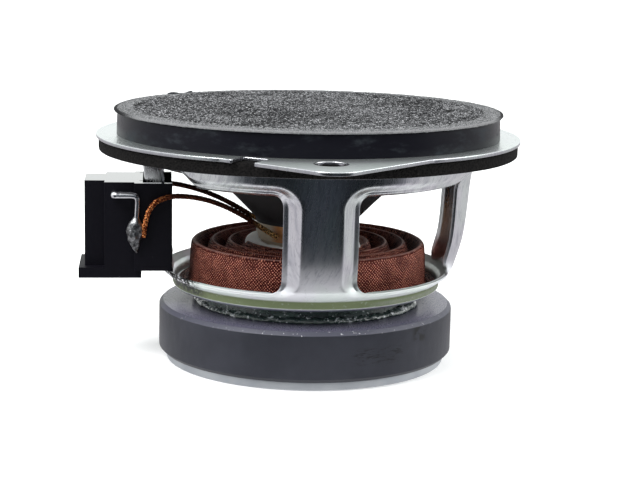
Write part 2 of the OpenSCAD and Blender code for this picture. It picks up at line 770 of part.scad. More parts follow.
// A round lead swept along its route.
module lead_shape(route) {
    path = spline(route, lead_steps);
    last_ring = len(path) - 1;
    along = [for (i = [0 : last_ring]) unit(path[min(i + 1, last_ring)] - path[max(i - 1, 0)])];
    across = [for (t = along) unit(cross(t, [0, 1, 0]))];
    points = [for (i = [0 : last_ring], k = [0 : lead_sides - 1])
        let (a = 360 * k / lead_sides)
        path[i] + lead_r * (cos(a) * across[i] + sin(a) * cross(along[i], across[i]))];
    sides = [for (i = [0 : last_ring - 1], k = [0 : lead_sides - 1])
        let (j = (k + 1) % lead_sides, low = i * lead_sides, high = low + lead_sides)
        [low + k, high + k, high + j, low + j]];
    first = [for (k = [0 : lead_sides - 1]) k];
    last = [for (k = [lead_sides - 1 : -1 : 0]) last_ring * lead_sides + k];
    polyhedron(points, concat(sides, [first, last]), convexity = 6);
}

module lead_front() { color("chocolate") on_side(false) lead_shape(lead_front_points); }
module lead_rear() { color("chocolate") on_side(true) lead_shape(lead_rear_points); }

back_plate();
pole_piece();
magnet();
top_plate();
plate_glue();
basket();
basket_rivets();
spider();
coil_former();
voice_coil();
coil_tails();
former_collar();
neck_glue();
cone();
dust_cap();
surround();
rear_gasket();
front_ring();
felt_screen();
connector_housing();
terminal_front();
terminal_rear();
solder_front();
solder_rear();
lead_front();
lead_rear();
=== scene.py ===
import math

import bmesh
import bpy
from mathutils import Matrix, Vector, noise


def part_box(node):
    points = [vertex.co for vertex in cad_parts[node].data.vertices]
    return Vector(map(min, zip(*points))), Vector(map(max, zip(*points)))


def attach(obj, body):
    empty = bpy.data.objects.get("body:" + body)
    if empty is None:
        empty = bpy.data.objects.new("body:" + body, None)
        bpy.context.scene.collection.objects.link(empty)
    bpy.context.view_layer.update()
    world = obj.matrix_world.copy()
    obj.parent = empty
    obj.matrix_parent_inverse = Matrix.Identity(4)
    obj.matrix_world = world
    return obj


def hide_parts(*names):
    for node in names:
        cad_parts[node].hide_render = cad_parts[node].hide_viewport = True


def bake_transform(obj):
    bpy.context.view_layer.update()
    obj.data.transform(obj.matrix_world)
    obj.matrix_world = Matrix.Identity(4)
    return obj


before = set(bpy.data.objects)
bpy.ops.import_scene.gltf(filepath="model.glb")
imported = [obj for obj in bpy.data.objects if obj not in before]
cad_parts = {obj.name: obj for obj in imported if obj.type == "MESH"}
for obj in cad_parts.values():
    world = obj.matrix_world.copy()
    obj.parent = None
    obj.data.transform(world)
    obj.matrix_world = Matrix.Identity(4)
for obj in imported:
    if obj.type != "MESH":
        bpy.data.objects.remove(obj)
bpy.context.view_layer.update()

MM = 0.001
FIXED = "basket_assembly"
MOVING = "moving_cone"
FULL_TURN = 2 * math.pi


# ---- sizes in metres, most of them read from the frame ----

def low(node):
    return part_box(node)[0]


def high(node):
    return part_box(node)[1]


SHEET_T = 0.7 * MM
FLOOR_Z = low("basket").z
FLANGE_TOP_Z = high("basket").z
FLANGE_Z = FLANGE_TOP_Z - SHEET_T
FLANGE_R = high("basket").x
LEG_HALF_W = 7.15 * MM
SILL_Z = FLOOR_Z + 3.8 * MM
HEAD_Z = SILL_Z + 19.1 * MM
MAGNET_TOP_Z = high("magnet").z
SPIDER_TOP_Z = high("spider").z
RIDGE_R = 23.1 * MM
RING_R = high("front_ring").x
RING_TOP_Z = low("felt_screen").z
FELT_R = high("felt_screen").x
FELT_TOP_Z = high("felt_screen").z
FELT_RIM_W = 3.7 * MM
HOUSING_LOW, HOUSING_HIGH = low("connector_housing"), high("connector_housing")

# The bend at the basket's foot and neck, and its outer line between them, as height and radius.
FOOT_BEND = 0.9 * MM
WALL = [(z * MM + FLOOR_Z, r * MM) for z, r in (
    (0.9, 27.3), (1.9, 27.5), (3.2, 29.1), (4.2, 30.0), (5.4, 30.5), (7.2, 31.1), (10.2, 31.9), (13.6, 32.4),
    (18.0, 32.8), (22.9, 33.2), (29.4, 33.9))]


# ---- studio ----

def aim(thing, target, roll=0.0):
    """Turns a camera or a light towards a point."""
    direction = Vector(target) - thing.location
    turn = direction.to_track_quat("-Z", "Y")
    thing.rotation_mode = "QUATERNION"
    thing.rotation_quaternion = turn @ Matrix.Rotation(roll, 3, "Z").to_quaternion()


def place_camera():
    """The view from the front, a little above the flange."""
    data = bpy.data.cameras.new("camera")
    data.sensor_width = 36
    data.lens = 93.09
    data.shift_x = 0.0212
    data.shift_y = -0.0079
    data.clip_start = 0.01
    camera = bpy.data.objects.new("camera", data)
    bpy.context.collection.objects.link(camera)
    camera.location = (-0.03109, -0.33198, 0.08664)
    aim(camera, (0, 0, 0.025), roll=math.radians(1.1))
    bpy.context.scene.camera = camera


place_camera()


# ---- shader tools ----

class Signal:
    """A value or colour in a shader; Python's operators add Math nodes to it."""

    def __init__(self, graph, socket):
        self.graph = graph
        self.socket = socket

    def __add__(self, other):
        return self.graph.math("ADD", self, other)

    def __sub__(self, other):
        return self.graph.math("SUBTRACT", self, other)

    def __rsub__(self, other):
        return self.graph.math("SUBTRACT", other, self)

    def __mul__(self, other):
        return self.graph.math("MULTIPLY", self, other)

    def __truediv__(self, other):
        return self.graph.math("DIVIDE", self, other)

    def __pow__(self, other):
        return self.graph.math("POWER", self, other)

    __radd__ = __add__
    __rmul__ = __mul__


class Graph:
    """A node tree that nodes are added to with one method."""

    def __init__(self, tree):
        self.tree = tree

    def add(self, kind, settings=None, values=None, out=0):
        """Adds a node: its settings first, then the values or links of its inputs. Gives one output."""
        node = self.tree.nodes.new("ShaderNode" + kind)
        for key, value in (settings or {}).items():
            if key == "stops":
                self.set_stops(node.color_ramp.elements, value)
            else:
                setattr(node, key, value)
        for key, value in (values or {}).items():
            if isinstance(value, Signal):
                self.tree.links.new(value.socket, node.inputs[key])
            else:
                node.inputs[key].default_value = value
        return Signal(self, node.outputs[out])

    @staticmethod
    def set_stops(elements, stops):
        while len(elements) < len(stops):
            elements.new(1.0)
        for element, (place, colour) in zip(elements, stops):
            element.position = place
            element.color = (*colour, 1)

    def math(self, operation, *values):
        return self.add("Math", {"operation": operation}, dict(enumerate(values)))

    def vector(self, operation, *values):
        return self.add("VectorMath", {"operation": operation}, dict(enumerate(values)))

    def mix(self, factor, first, second):
        """A colour between two colours."""
        pair = [c if isinstance(c, Signal) else (*c, 1) for c in (first, second)]
        return self.add(
            "Mix", {"data_type": "RGBA", "clamp_factor": True},
            {0: factor, 6: pair[0], 7: pair[1]}, out=2)

    def band(self, value, start, end):
        """Goes smoothly from 0 to 1 while the value goes from start to end."""
        return self.add("MapRange", {"interpolation_type": "SMOOTHSTEP"},
                        {"Value": value, "From Min": start, "From Max": end})

    def between(self, value, rise, fall):
        """Goes up to 1 over the first pair of limits and down to 0 over the second."""
        return self.band(value, *rise) * self.band(value, *fall)

    def ramp(self, value, stops):
        return self.add("ValToRGB", {"stops": stops}, {0: value})

    def split(self, vector):
        """The three parts of a vector."""
        node = self.add("SeparateXYZ", values={0: vector}).socket.node
        return [Signal(self, output) for output in node.outputs]


class Finish(Graph):
    """A procedural material around one Principled shader, placed by the piece's own coordinates in mm."""

    def __init__(self, name, **constants):
        self.material = bpy.data.materials.new(name)
        self.material.use_nodes = True
        super().__init__(self.material.node_tree)
        self.shader = self.tree.nodes["Principled BSDF"]
        for key, value in constants.items():
            self.shader.inputs[self.spaced(key)].default_value = value
        self.at = self.vector("MULTIPLY", self.add("TexCoord", out="Object"), (1000, 1000, 1000))
        self.x, self.y, self.z = self.split(self.at)
        self.radius = self.math("SQRT", self.x * self.x + self.y * self.y)
        self.angle = self.math("ARCTAN2", self.y, self.x)
        self.up = self.split(self.add("NewGeometry", out="Normal"))[2]

    @staticmethod
    def spaced(key):
        return key.replace("_", " ").title().replace("Ior", "IOR")

    def noise(self, size, detail=2.0, roughness=0.5, at=None, distortion=0.0):
        """Soft noise from 0 to 1 whose blotches are about that many mm wide."""
        return self.add("TexNoise", values={
            "Vector": at or self.at, "Scale": 1 / size, "Detail": detail, "Roughness": roughness,
            "Distortion": distortion})

    def cells(self, size):
        """Distance to the nearest of scattered points, about that many mm apart."""
        return self.add("TexVoronoi", values={"Vector": self.at, "Scale": 1 / size})

    def around(self, along=1.0, up=1.0):
        """Coordinates wrapped round the axis: mm along the circle and height, each scaled, and radius."""
        return self.add("CombineXYZ", values={
            0: self.angle * self.radius * along, 1: self.z * up, 2: self.radius})

    def degrees(self):
        """Direction round the axis, from -180 to 180."""
        return self.angle * (180 / math.pi)

    def paint(self, **signals):
        """Links what changes over the surface to the shader's inputs."""
        for key, signal in signals.items():
            self.tree.links.new(signal.socket, self.shader.inputs[self.spaced(key)])
        return self

    def bump(self, height, distance):
        """Relief that many mm deep where the height goes from 0 to 1."""
        return self.paint(normal=self.add("Bump", values={
            "Height": height, "Distance": distance * MM, "Strength": 1.0}))


# ---- mesh tools ----

def clamped(value, lowest=0, highest=1):
    return max(lowest, min(highest, value))


def outward(angle):
    """The level direction away from the axis at an angle."""
    return Vector((math.cos(angle), math.sin(angle), 0))


def make_piece(name, vertices, faces, finish, merge=1e-7):
    """A smooth-shaded mesh whose outside faces outwards."""
    mesh = bpy.data.meshes.new(name)
    shape = bmesh.new()
    corners = [shape.verts.new(v) for v in vertices]
    for face in faces:
        shape.faces.new([corners[i] for i in face])
    bmesh.ops.remove_doubles(shape, verts=shape.verts, dist=merge)
    bmesh.ops.dissolve_degenerate(shape, edges=shape.edges, dist=merge)
    bmesh.ops.recalc_face_normals(shape, faces=shape.faces)
    shape.to_mesh(mesh)
    shape.free()
    return show(name, mesh, finish)


def show(name, mesh, finish):
    """Puts a mesh into the scene, smooth-shaded and with its finish."""
    for polygon in mesh.polygons:
        polygon.use_smooth = True
    mesh.materials.clear()
    mesh.materials.append(finish.material)
    piece = bpy.data.objects.new(name, mesh)
    bpy.context.collection.objects.link(piece)
    return piece


def change(piece, kind, **settings):
    """Adds a modifier with its settings."""
    modifier = piece.modifiers.new(kind.lower(), kind)
    for key, value in settings.items():
        setattr(modifier, key, value)
    return modifier


def settle(piece):
    """Turns a piece and its modifiers, or a curve, into a plain mesh."""
    bpy.context.view_layer.update()
    shown = piece.evaluated_get(bpy.context.evaluated_depsgraph_get())
    mesh = bpy.data.meshes.new_from_object(shown)
    name, materials = piece.name, list(piece.data.materials)
    bpy.data.objects.remove(piece)
    made = bpy.data.objects.new(name, mesh)
    mesh.materials.clear()
    for material in materials:
        mesh.materials.append(material)
    for polygon in mesh.polygons:
        polygon.use_smooth = True
    bpy.context.collection.objects.link(made)
    return made


def break_edges(piece, width, angle=40, segments=2):
    """Rounds a piece's sharp edges and keeps its flat faces flat."""
    change(piece, "BEVEL", width=width, segments=segments, limit_method="ANGLE",
           angle_limit=math.radians(angle), use_clamp_overlap=True)
    change(piece, "WEIGHTED_NORMAL", keep_sharp=True)
    return piece


def belongs(piece, body, slot, *nodes):
    """The piece rides on a body and stands for CAD nodes, which it hides. The slot is not used."""
    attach(piece, body)
    if nodes:
        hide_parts(*nodes)
    return piece


def arc(centre, radius, start, end, steps):
    """Points on an arc between two angles in degrees, both ends included."""
    return [(centre[0] + radius * math.cos(math.radians(start + (end - start) * i / steps)),
             centre[1] + radius * math.sin(math.radians(start + (end - start) * i / steps)))
            for i in range(steps + 1)]


def rounded(corners, steps=4):
    """A closed outline of (x, y, radius) corners, with each corner turned into an arc."""
    outline = []
    for i, (x, y, radius) in enumerate(corners):
        here = Vector((x, y))
        back = Vector(corners[i - 1][:2]) - here
        on = Vector(corners[(i + 1) % len(corners)][:2]) - here
        half = back.angle(on) / 2
        if radius <= 0 or abs(half - math.pi / 2) < 1e-3:
            outline.append((x, y))
            continue
        reach = min(radius / math.tan(half), back.length / 2, on.length / 2)
        first = here + back.normalized() * reach
        last = here + on.normalized() * reach
        for k in range(steps + 1):
            t = k / steps
            outline.append(tuple((1 - t) ** 2 * first + 2 * t * (1 - t) * here + t ** 2 * last))
    return outline


def smooth_curve(points, steps):
    """A Catmull-Rom curve through points of any dimension."""
    line = []
    for i in range(len(points) - 1):
        four = [Vector(points[max(0, min(len(points) - 1, i + k))]) for k in (-1, 0, 1, 2)]
        for k in range(steps):
            t = k / steps
            line.append(0.5 * (2 * four[1] + (four[2] - four[0]) * t
                               + (2 * four[0] - 5 * four[1] + 4 * four[2] - four[3]) * t ** 2
                               + (3 * four[1] - four[0] - 3 * four[2] + four[3]) * t ** 3))
    return line + [Vector(points[-1])]


def lathe(name, outline, finish, steps=256, closed=True, warp=None):
    """Turns an outline of (radius, height) round the axis; warp moves each point."""
    vertices = []
    for i in range(steps):
        angle = FULL_TURN * i / steps
        for radius, z in outline:
            point = Vector((radius * math.cos(angle), radius * math.sin(angle), z))
            vertices.append(warp(point, angle) if warp else point)
    count = len(outline)
    faces = []
    for i in range(steps):
        j = (i + 1) % steps
        for k in range(count if closed else count - 1):
            m = (k + 1) % count
            faces.append((i * count + k, j * count + k, j * count + m, i * count + m))
    return make_piece(name, vertices, faces, finish)


def prism(name, outline, z_low, z_high, finish):
    """An upright solid over an outline of (x, y) points."""
    mesh = bpy.data.meshes.new(name)
    shape = bmesh.new()
    base = shape.faces.new([shape.verts.new((x, y, z_low)) for x, y in outline])
    made = bmesh.ops.extrude_face_region(shape, geom=[base])
    top = [v for v in made["geom"] if isinstance(v, bmesh.types.BMVert)]
    bmesh.ops.translate(shape, verts=top, vec=(0, 0, z_high - z_low))
    bmesh.ops.recalc_face_normals(shape, faces=shape.faces)
    shape.to_mesh(mesh)
    shape.free()
    return show(name, mesh, finish)


def box_outline(x_low, x_high, y_low, y_high):
    """A rectangle's corners, for a prism or a lathe."""
    return [(x_low, y_low), (x_high, y_low), (x_high, y_high), (x_low, y_high)]


def combine(piece, others, operation):
    """Adds solids to a piece, or cuts them out of it, and removes them."""
    for other in others:
        change(piece, "BOOLEAN", operation=operation, object=other, solver="EXACT")
        piece = settle(piece)
        bpy.data.objects.remove(other)
    return piece


def frames_along(path):
    """Each point of a path with two directions across it that don't twist."""
    tangents = [(path[min(i + 1, len(path) - 1)] - path[max(i - 1, 0)]).normalized()
                for i in range(len(path))]
    across = tangents[0].orthogonal().normalized()
    frames = []
    for point, tangent in zip(path, tangents):
        across = (across - tangent * across.dot(tangent)).normalized()
        frames.append((point, across, tangent.cross(across)))
    return frames


def tube_mesh(path, radii, sides, vertices, faces):
    """Adds a tube with flat ends along a path to lists of vertices and faces."""
    first = len(vertices)
    for (point, across, over), radius in zip(frames_along(path), radii):
        for k in range(sides):
            angle = FULL_TURN * k / sides
            vertices.append(point + radius * (math.cos(angle) * across + math.sin(angle) * over))
    for i in range(len(path) - 1):
        for k in range(sides):
            a, b = first + i * sides + k, first + i * sides + (k + 1) % sides
            faces.append((a, b, b + sides, a + sides))
    faces.append([first + k for k in range(sides)][::-1])
    faces.append([first + (len(path) - 1) * sides + k for k in range(sides)])


# ---- basket ----

def wall_radius(z):
    """Radius of the basket's outside at a height, as a smooth curve through the wall's points."""
    if z <= WALL[0][0]:
        return WALL[0][1]
    if z >= WALL[-1][0]:
        return WALL[-1][1]
    i = max(k for k in range(len(WALL) - 1) if WALL[k][0] <= z)

    def slope(k):
        near, far = WALL[max(k - 1, 0)], WALL[min(k + 1, len(WALL) - 1)]
        return (far[1] - near[1]) / (far[0] - near[0])

    span = WALL[i + 1][0] - WALL[i][0]
    t = (z - WALL[i][0]) / span
    return ((2 * t ** 3 - 3 * t ** 2 + 1) * WALL[i][1] + (t ** 3 - 2 * t ** 2 + t) * span * slope(i)
            + (3 * t ** 2 - 2 * t ** 3) * WALL[i + 1][1] + (t ** 3 - t ** 2) * span * slope(i + 1))


class Window:
    """An opening in the wall. Its places are a side distance from its middle and a height."""
    REACH = 25.1 * MM           # side distance from the window's middle to a leg's middle
    CORNER = 2.6 * MM
    STEADY = 10.4 * MM          # up to here from a leg's middle, the leg keeps its width
    LOW_Z = WALL[0][0] + 1.0 * MM
    HIGH_Z = HEAD_Z + 5.4 * MM
    OUTER_STEPS = 6
    LIFT = 2.4 * MM             # how much higher an opening reaches beside the connector's leg
    LIFT_FROM, LIFT_TO = 0.5 * MM, 5.3 * MM
    # The sheet's edge round the opening, as distance from the hole and depth below the wall, in mm:
    # a narrow lip, a sloping step and the bend into the wall.
    EDGE = {
        "side": [(0.0, 2.3), (0.45, 2.2), (0.95, 2.1), (1.25, 1.9), (1.6, 1.6), (2.2, 1.0),
                 (2.8, 0.4), (3.15, 0.12), (3.6, 0.0)],
        "head": [(0.0, 1.8), (0.25, 1.5), (0.5, 1.24), (0.78, 1.16), (1.02, 1.05), (1.4, 0.68),
                 (1.8, 0.3), (2.1, 0.09), (2.5, 0.0)],
        "sill": [(0.0, 0.3), (0.03, 0.2), (0.07, 0.13), (0.12, 0.085), (0.18, 0.05), (0.25, 0.03),
                 (0.33, 0.015), (0.42, 0.004), (0.5, 0.0)]}
    EDGE_STEPS = 3
    CORNER_STEPS, ACROSS_STEPS, UPRIGHT_STEPS = 16, 24, 20
    TAPER = 0.17                # how much deeper a leg's sides are at the head, and shallower at the sill

    def __init__(self, middle):
        self.middle = middle
        beside = math.cos(middle) < 0
        self.raised = math.copysign(1, math.sin(middle)) if beside else 0

    def lift(self, side, z):
        """How far a point of the opening is raised: not at all in its lower half."""
        t = clamped((side * self.raised - self.LIFT_FROM) / (self.LIFT_TO - self.LIFT_FROM))
        share = clamped((2 * z - SILL_Z - HEAD_Z) / (HEAD_Z - SILL_Z - self.CORNER))
        return self.LIFT * t * t * (3 - 2 * t) * share

    def angle(self, side, z):
        """Direction of a point that lies a side distance from the window's middle."""
        radius = wall_radius(z)
        from_leg = self.REACH - abs(side)
        if from_leg <= self.STEADY:
            turn = math.asin(from_leg / radius)
        else:
            edge = math.asin(self.STEADY / radius)
            turn = edge + (math.pi / 4 - edge) * (from_leg - self.STEADY) / (self.REACH - self.STEADY)
        return self.middle + math.copysign(math.pi / 4 - turn, side)

    def rim(self):
        """Round the opening: a point, the way out from it, and its match on the patch's border."""
        half, r = self.REACH - LEG_HALF_W, self.CORNER
        tall, mid_z = (HEAD_Z - SILL_Z) / 2, (HEAD_Z + SILL_Z) / 2
        rows = []
        for right, up in ((1, 1), (-1, 1), (-1, -1), (1, -1)):
            edge_z = self.HIGH_Z if up > 0 else self.LOW_Z
            start_z = mid_z + up * (tall - r)
            corner = []
            for k in range(self.CORNER_STEPS + 1):
                a = math.radians(90 * k / self.CORNER_STEPS)
                side, z = half - r + r * math.cos(a), mid_z + up * (tall - r + r * math.sin(a))
                share = math.tan(min(a, math.pi / 2 - a))
                if k <= self.CORNER_STEPS / 2:
                    out = (self.REACH, start_z + share * (edge_z - start_z))
                else:
                    out = (half - r + share * (self.REACH - half + r), edge_z)
                corner.append((right * side, z, right * math.cos(a), up * math.sin(a),
                               right * out[0], out[1]))
            across = []
            for k in range(1, self.ACROSS_STEPS):
                side = (half - r) * (1 - 2 * k / self.ACROSS_STEPS)
                across.append((right * side, mid_z + up * tall, 0, up, right * side, edge_z))
            upright = []
            for k in range(1, self.UPRIGHT_STEPS):
                z = mid_z + up * (tall - r) * (2 * k / self.UPRIGHT_STEPS - 1)
                upright.append((right * half, z, right, 0, right * self.REACH, z))
            rows += corner + across if right == up else corner[::-1] + upright[::-1]
        return [(row[0], row[1] + self.lift(row[0], row[1]), *row[2:]) for row in rows]

    def patch(self, vertices, faces):
        """Adds the wall round the opening, its edges bent inwards."""
        rim = self.rim()
        first = len(vertices)
        edges = {kind: smooth_curve(points, self.EDGE_STEPS) for kind, points in self.EDGE.items()}
        bends = len(edges["side"])
        rows = bends + self.OUTER_STEPS
        for side, z, out_side, out_z, border_side, border_z in rim:
            share = out_side ** 2
            end = edges["head" if out_z > 0 else "sill"]
            edge = [(share * a + (1 - share) * b) * MM for a, b in zip(edges["side"], end)]
            bend = Vector((side + out_side * edge[-1].x, z + out_z * edge[-1].x))
            height = clamped((2 * z - SILL_Z - HEAD_Z) / (HEAD_Z - SILL_Z), lowest=-1)
            deeper = 1 + self.TAPER * share * height
            for off, sunk in edge:
                here = (side + out_side * off, z + out_z * off)
                vertices.append(self.point(*here, sunk * deeper, share, math.copysign(1, side)))
            for k in range(1, self.OUTER_STEPS + 1):
                here = bend.lerp(Vector((border_side, border_z)), k / self.OUTER_STEPS)
                vertices.append(self.point(*here, 0, share, math.copysign(1, side)))
        for i in range(len(rim)):
            j = (i + 1) % len(rim)
            for k in range(rows - 1):
                faces.append((first + i * rows + k, first + j * rows + k,
                              first + j * rows + k + 1, first + i * rows + k + 1))

    def point(self, side, z, sunk, share, right):
        """A place on the wall, sunk towards the axis or, by that share, straight back from the leg's face."""
        out = outward(self.angle(side, z))
        leg_way = outward(self.middle + right * math.pi / 4)
        inwards = -(leg_way * share + out * (1 - share)).normalized()
        return out * wall_radius(z) + Vector((0, 0, z)) + inwards * sunk

    def border_angles(self, z):
        """Directions of the patch's points along its lower or upper border, in rising order."""
        return sorted({round(self.angle(row[4], z), 9) for row in self.rim() if abs(row[5] - z) < 1e-9})


def add_ring_rows(vertices, faces, angles, outline):
    """Adds an outline of (radius, height), swept round the axis through the given directions."""
    first, count = len(vertices), len(outline)
    for angle in angles:
        vertices += [Vector((r * math.cos(angle), r * math.sin(angle), z)) for r, z in outline]
    for i in range(len(angles) - 1):
        for k in range(count - 1):
            a = first + i * count + k
            faces.append((a, a + count, a + count + 1, a + 1))


def make_basket(steel):
    """The pressed shell: a floor with its bore, a bend up, the wall with four openings, and the neck."""
    vertices, faces = [], []
    foot_r, neck_r = WALL[0][1], WALL[-1][1]
    bore_r, floor_rows, row_gap = 12.25 * MM, (15 * MM, 20 * MM), 0.25 * MM
    foot = [(radius, FLOOR_Z) for radius in (bore_r, *floor_rows)]
    foot += arc((foot_r - FOOT_BEND, FLOOR_Z + FOOT_BEND), FOOT_BEND, -90, 0, 6)
    foot += [(wall_radius(Window.LOW_Z - k * row_gap), Window.LOW_Z - k * row_gap) for k in (3, 2, 1, 0)]
    neck_z = FLANGE_Z - FOOT_BEND
    rows = [Window.HIGH_Z + (neck_z - Window.HIGH_Z) * k / 4 for k in range(5)]
    neck = [(wall_radius(z), z) for z in rows]
    neck += arc((neck_r + FOOT_BEND, neck_z), FOOT_BEND, 180, 90, 6)[1:]
    for quarter in range(4):
        window = Window(math.pi / 4 + quarter * math.pi / 2)
        window.patch(vertices, faces)
        add_ring_rows(vertices, faces, window.border_angles(Window.LOW_Z), foot)
        add_ring_rows(vertices, faces, window.border_angles(Window.HIGH_Z), neck)
    shell = make_piece("basket_shell", vertices, faces, steel, merge=2e-6)
    face_outwards(shell)
    change(shell, "SOLIDIFY", thickness=SHEET_T, offset=-1, use_even_offset=True)
    shell = break_edges(settle(shell), 0.14 * MM, angle=50)
    return belongs(settle(shell), FIXED, "zinc_steel", "basket")


def face_outwards(piece):
    """Turns the mesh's faces over if they look towards the axis."""
    total = sum(p.normal.xy.dot(Vector(p.center.xy)) * p.area for p in piece.data.polygons)
    if total < 0:
        piece.data.flip_normals()


def ear_corners():
    """The front ear's edge with its notch, from the flange's round edge and back to it."""
    apex, tip_r = FLANGE_R + 14.5 * MM, 5.3 * MM
    chord = math.sqrt(FLANGE_R ** 2 - apex ** 2 / 2)
    start = math.pi / 4 - math.asin(chord / FLANGE_R)
    edge_x, edge_y = FLANGE_R * math.sin(start), FLANGE_R * math.cos(start)
    notch_aside, notch_depth, notch_half_w, notch_turn = 12.8 * MM, 5.2 * MM, 2.6 * MM, 0.45 * MM
    lean = math.radians(33)
    inner = Vector((-notch_aside, notch_depth - FLANGE_R))
    along = Vector((-math.sin(lean), -math.cos(lean)))
    across = Vector((math.cos(lean), -math.sin(lean))) * notch_half_w

    def meets_flank(corner):
        """Where a notch's side, from its inner corner, meets the ear's flank."""
        way = (apex - abs(corner.x) - abs(corner.y)) / (abs(along.x) + abs(along.y))
        return corner + along * way

    left, right = inner - across, inner + across
    tip = arc((0, -(apex - tip_r * math.sqrt(2))), tip_r, 225, 315, 14)
    notch = [meets_flank(left), left, right, meets_flank(right)]
    corners = [(-edge_x, -edge_y, 0)] + [(p.x, p.y, notch_turn) for p in notch]
    return corners + [(x, y, 0) for x, y in tip] + [(edge_x, -edge_y, 0)], start


def make_flange(steel):
    """The flat sheet with its two ears, their screw holes and the notches beside them."""
    ear, start = ear_corners()
    corners = []
    for half in (1, -1):
        corners += [(x * half, y * half, r) for x, y, r in ear]
        first = math.degrees(start) - 90
        round_edge = arc((0, 0), FLANGE_R, first, 90 - math.degrees(start), 110)[1:-1]
        corners += [(x * half, y * half, 0) for x, y in round_edge]
    hole_y, hole_r = FLANGE_R + 1.9 * MM, 3.1 * MM
    edge = 0.15 * MM
    curve = bpy.data.curves.new("basket_flange", "CURVE")
    curve.dimensions = "2D"
    curve.fill_mode = "BOTH"
    curve.extrude = SHEET_T / 2 - edge
    curve.bevel_depth = edge
    curve.bevel_resolution = 3
    curve.offset = -edge
    inner_r = WALL[-1][1] + FOOT_BEND
    holes = [arc((0, y), hole_r, 0, 352.5, 47) for y in (hole_y, -hole_y)]
    for outline in (rounded(corners), arc((0, 0), inner_r, 0, 357.5, 143), *holes):
        spline = curve.splines.new("POLY")
        spline.points.add(len(outline) - 1)
        for point, (x, y) in zip(spline.points, outline):
            point.co = (x, y, 0, 1)
        spline.use_cyclic_u = True
    curve.materials.append(steel.material)
    flange = bpy.data.objects.new("basket_flange", curve)
    bpy.context.collection.objects.link(flange)
    flange = settle(flange)
    flange.data.transform(Matrix.Translation((0, 0, FLANGE_Z + SHEET_T / 2)))
    change(flange, "WEIGHTED_NORMAL", keep_sharp=True)
    return belongs(settle(flange), FIXED, "zinc_steel", "basket")


# ---- finishes ----

def zinc_steel():
    """Bright zinc plating: upright drawing marks on the legs, satin on the flange, an olive painted
    reflection on the foot, and painted shade inside the basket, beside the connector's leg and on the
    flange's cut edge.
    """
    f = Finish("zinc_steel", metallic=1.0)
    floor, sill_z, flange = FLOOR_Z / MM, SILL_Z / MM, FLANGE_Z / MM
    turn = f.degrees()
    marks = f.noise(1.3, 3, 0.55, at=f.around(along=1.0, up=0.04))
    fine = f.noise(0.5, 4, 0.7, at=f.around(along=1.0, up=0.12))
    cloud = f.noise(11, 2)
    spots = f.band(f.noise(0.8, 3, 0.6), 0.60, 0.70)

    # where each kind of surface is
    on_legs = f.band(f.math("ABSOLUTE", turn), 172, 164) * f.band(f.z, sill_z + 1.0, sill_z + 4.7)
    # foot: the short wall at the basket's foot, which carries an olive painted reflection
    foot = f.between(f.z, (floor + 0.5, floor + 0.7), (floor + 2.35, floor + 2.0))
    foot = foot * f.band(f.radius, 26.4, 27.2)
    sill = f.between(f.z, (sill_z - 1.7, sill_z - 1.3), (sill_z + 0.8, sill_z + 0.4))
    sill = sill * f.band(f.radius, 27.4, 27.7)
    # painted shade: the inside of the wall low down on the right, darkened as if in shadow
    inside = f.band(f.x, 8, 14) * f.band(f.radius, 29.2, 28.6) * f.band(f.up, -0.4, 0.1)
    inside = inside * f.band(f.z, sill_z + 1.7, sill_z + 0.7)
    # painted shade: a near-black patch low on the wall beside the connector's leg, for that leg's foot in
    # shadow
    painted_leg_shade = f.between(turn, (-170, -166), (-138, -147)) * f.band(f.noise(0.9, 4, 0.7), 0.42, 0.5)
    painted_leg_shade = painted_leg_shade * f.between(f.z, (floor + 0.3, floor + 1.3), (sill_z + 1.4, sill_z + 0.5))
    flat = f.band(f.up, 0.9, 0.98) * f.band(f.z, flange - 0.3, flange)
    # painted shade: the flange's cut edge is darkened to stand in for the dark reflection it shows
    cut_edge = f.band(f.up, 0.5, 0.25) * f.band(f.radius, 36.5, 37)
    cut_edge = cut_edge * f.band(f.z, flange - 0.05, flange + 0.05)
    low_wall = f.band(f.z, floor + 18, floor + 6)
    worn = flat * f.band(f.radius, 39.6, 45.5)

    colour = f.mix(f.band(cloud, 0.42, 0.6), (0.73, 0.73, 0.765), (0.715, 0.76, 0.745))
    colour = f.mix(f.band(marks, 0.45, 0.7) * 0.4 * on_legs, colour, (0.42, 0.42, 0.48))
    colour = f.mix(f.band(fine, 0.48, 0.66) * 0.45 * on_legs, colour, (0.30, 0.31, 0.36))
    # painted reflection: olive on the foot's short wall; the metal is turned down below so that this colour
    # shows
    colour = f.mix(foot * 0.97, colour, f.mix(cloud, (0.055, 0.090, 0.018), (0.10, 0.120, 0.045)))
    colour = f.mix(inside * 0.8, colour, f.mix(fine, (0.05, 0.055, 0.045), (0.24, 0.26, 0.22)))
    colour = f.mix(painted_leg_shade * 0.97, colour, (0.006, 0.007, 0.006))
    colour = f.mix(cut_edge * 0.55, colour, (0.24, 0.25, 0.27))
    colour = f.mix(spots * (0.25 - 0.25 * flat), colour, (0.42, 0.44, 0.44))
    colour = f.mix(flat * 0.6, colour, (0.60, 0.655, 0.64))
    rough = 0.08 + (0.24 * marks + 0.12 * fine) * (1 - flat) + 0.12 * low_wall + 0.15 * flat
    rough = rough + 0.13 * worn + 0.12 * foot + 0.25 * sill
    metal = 1 - 0.96 * foot - 0.45 * sill - 0.12 * flat
    return f.paint(base_color=colour, roughness=rough, metallic=metal).bump(marks + 0.3 * fine, 0.02)


def plate_zinc():
    """Duller zinc on the turned plates, with fine rings."""
    f = Finish("plate_zinc", metallic=1.0)
    rings = f.noise(0.3, 2, at=f.around(along=0.02, up=4))
    cloud = f.noise(6, 3)
    colour = f.mix(f.band(cloud, 0.35, 0.7), (0.46, 0.48, 0.50), (0.38, 0.40, 0.43))
    return f.paint(base_color=colour, roughness=0.38 + 0.2 * rings).bump(rings, 0.02)


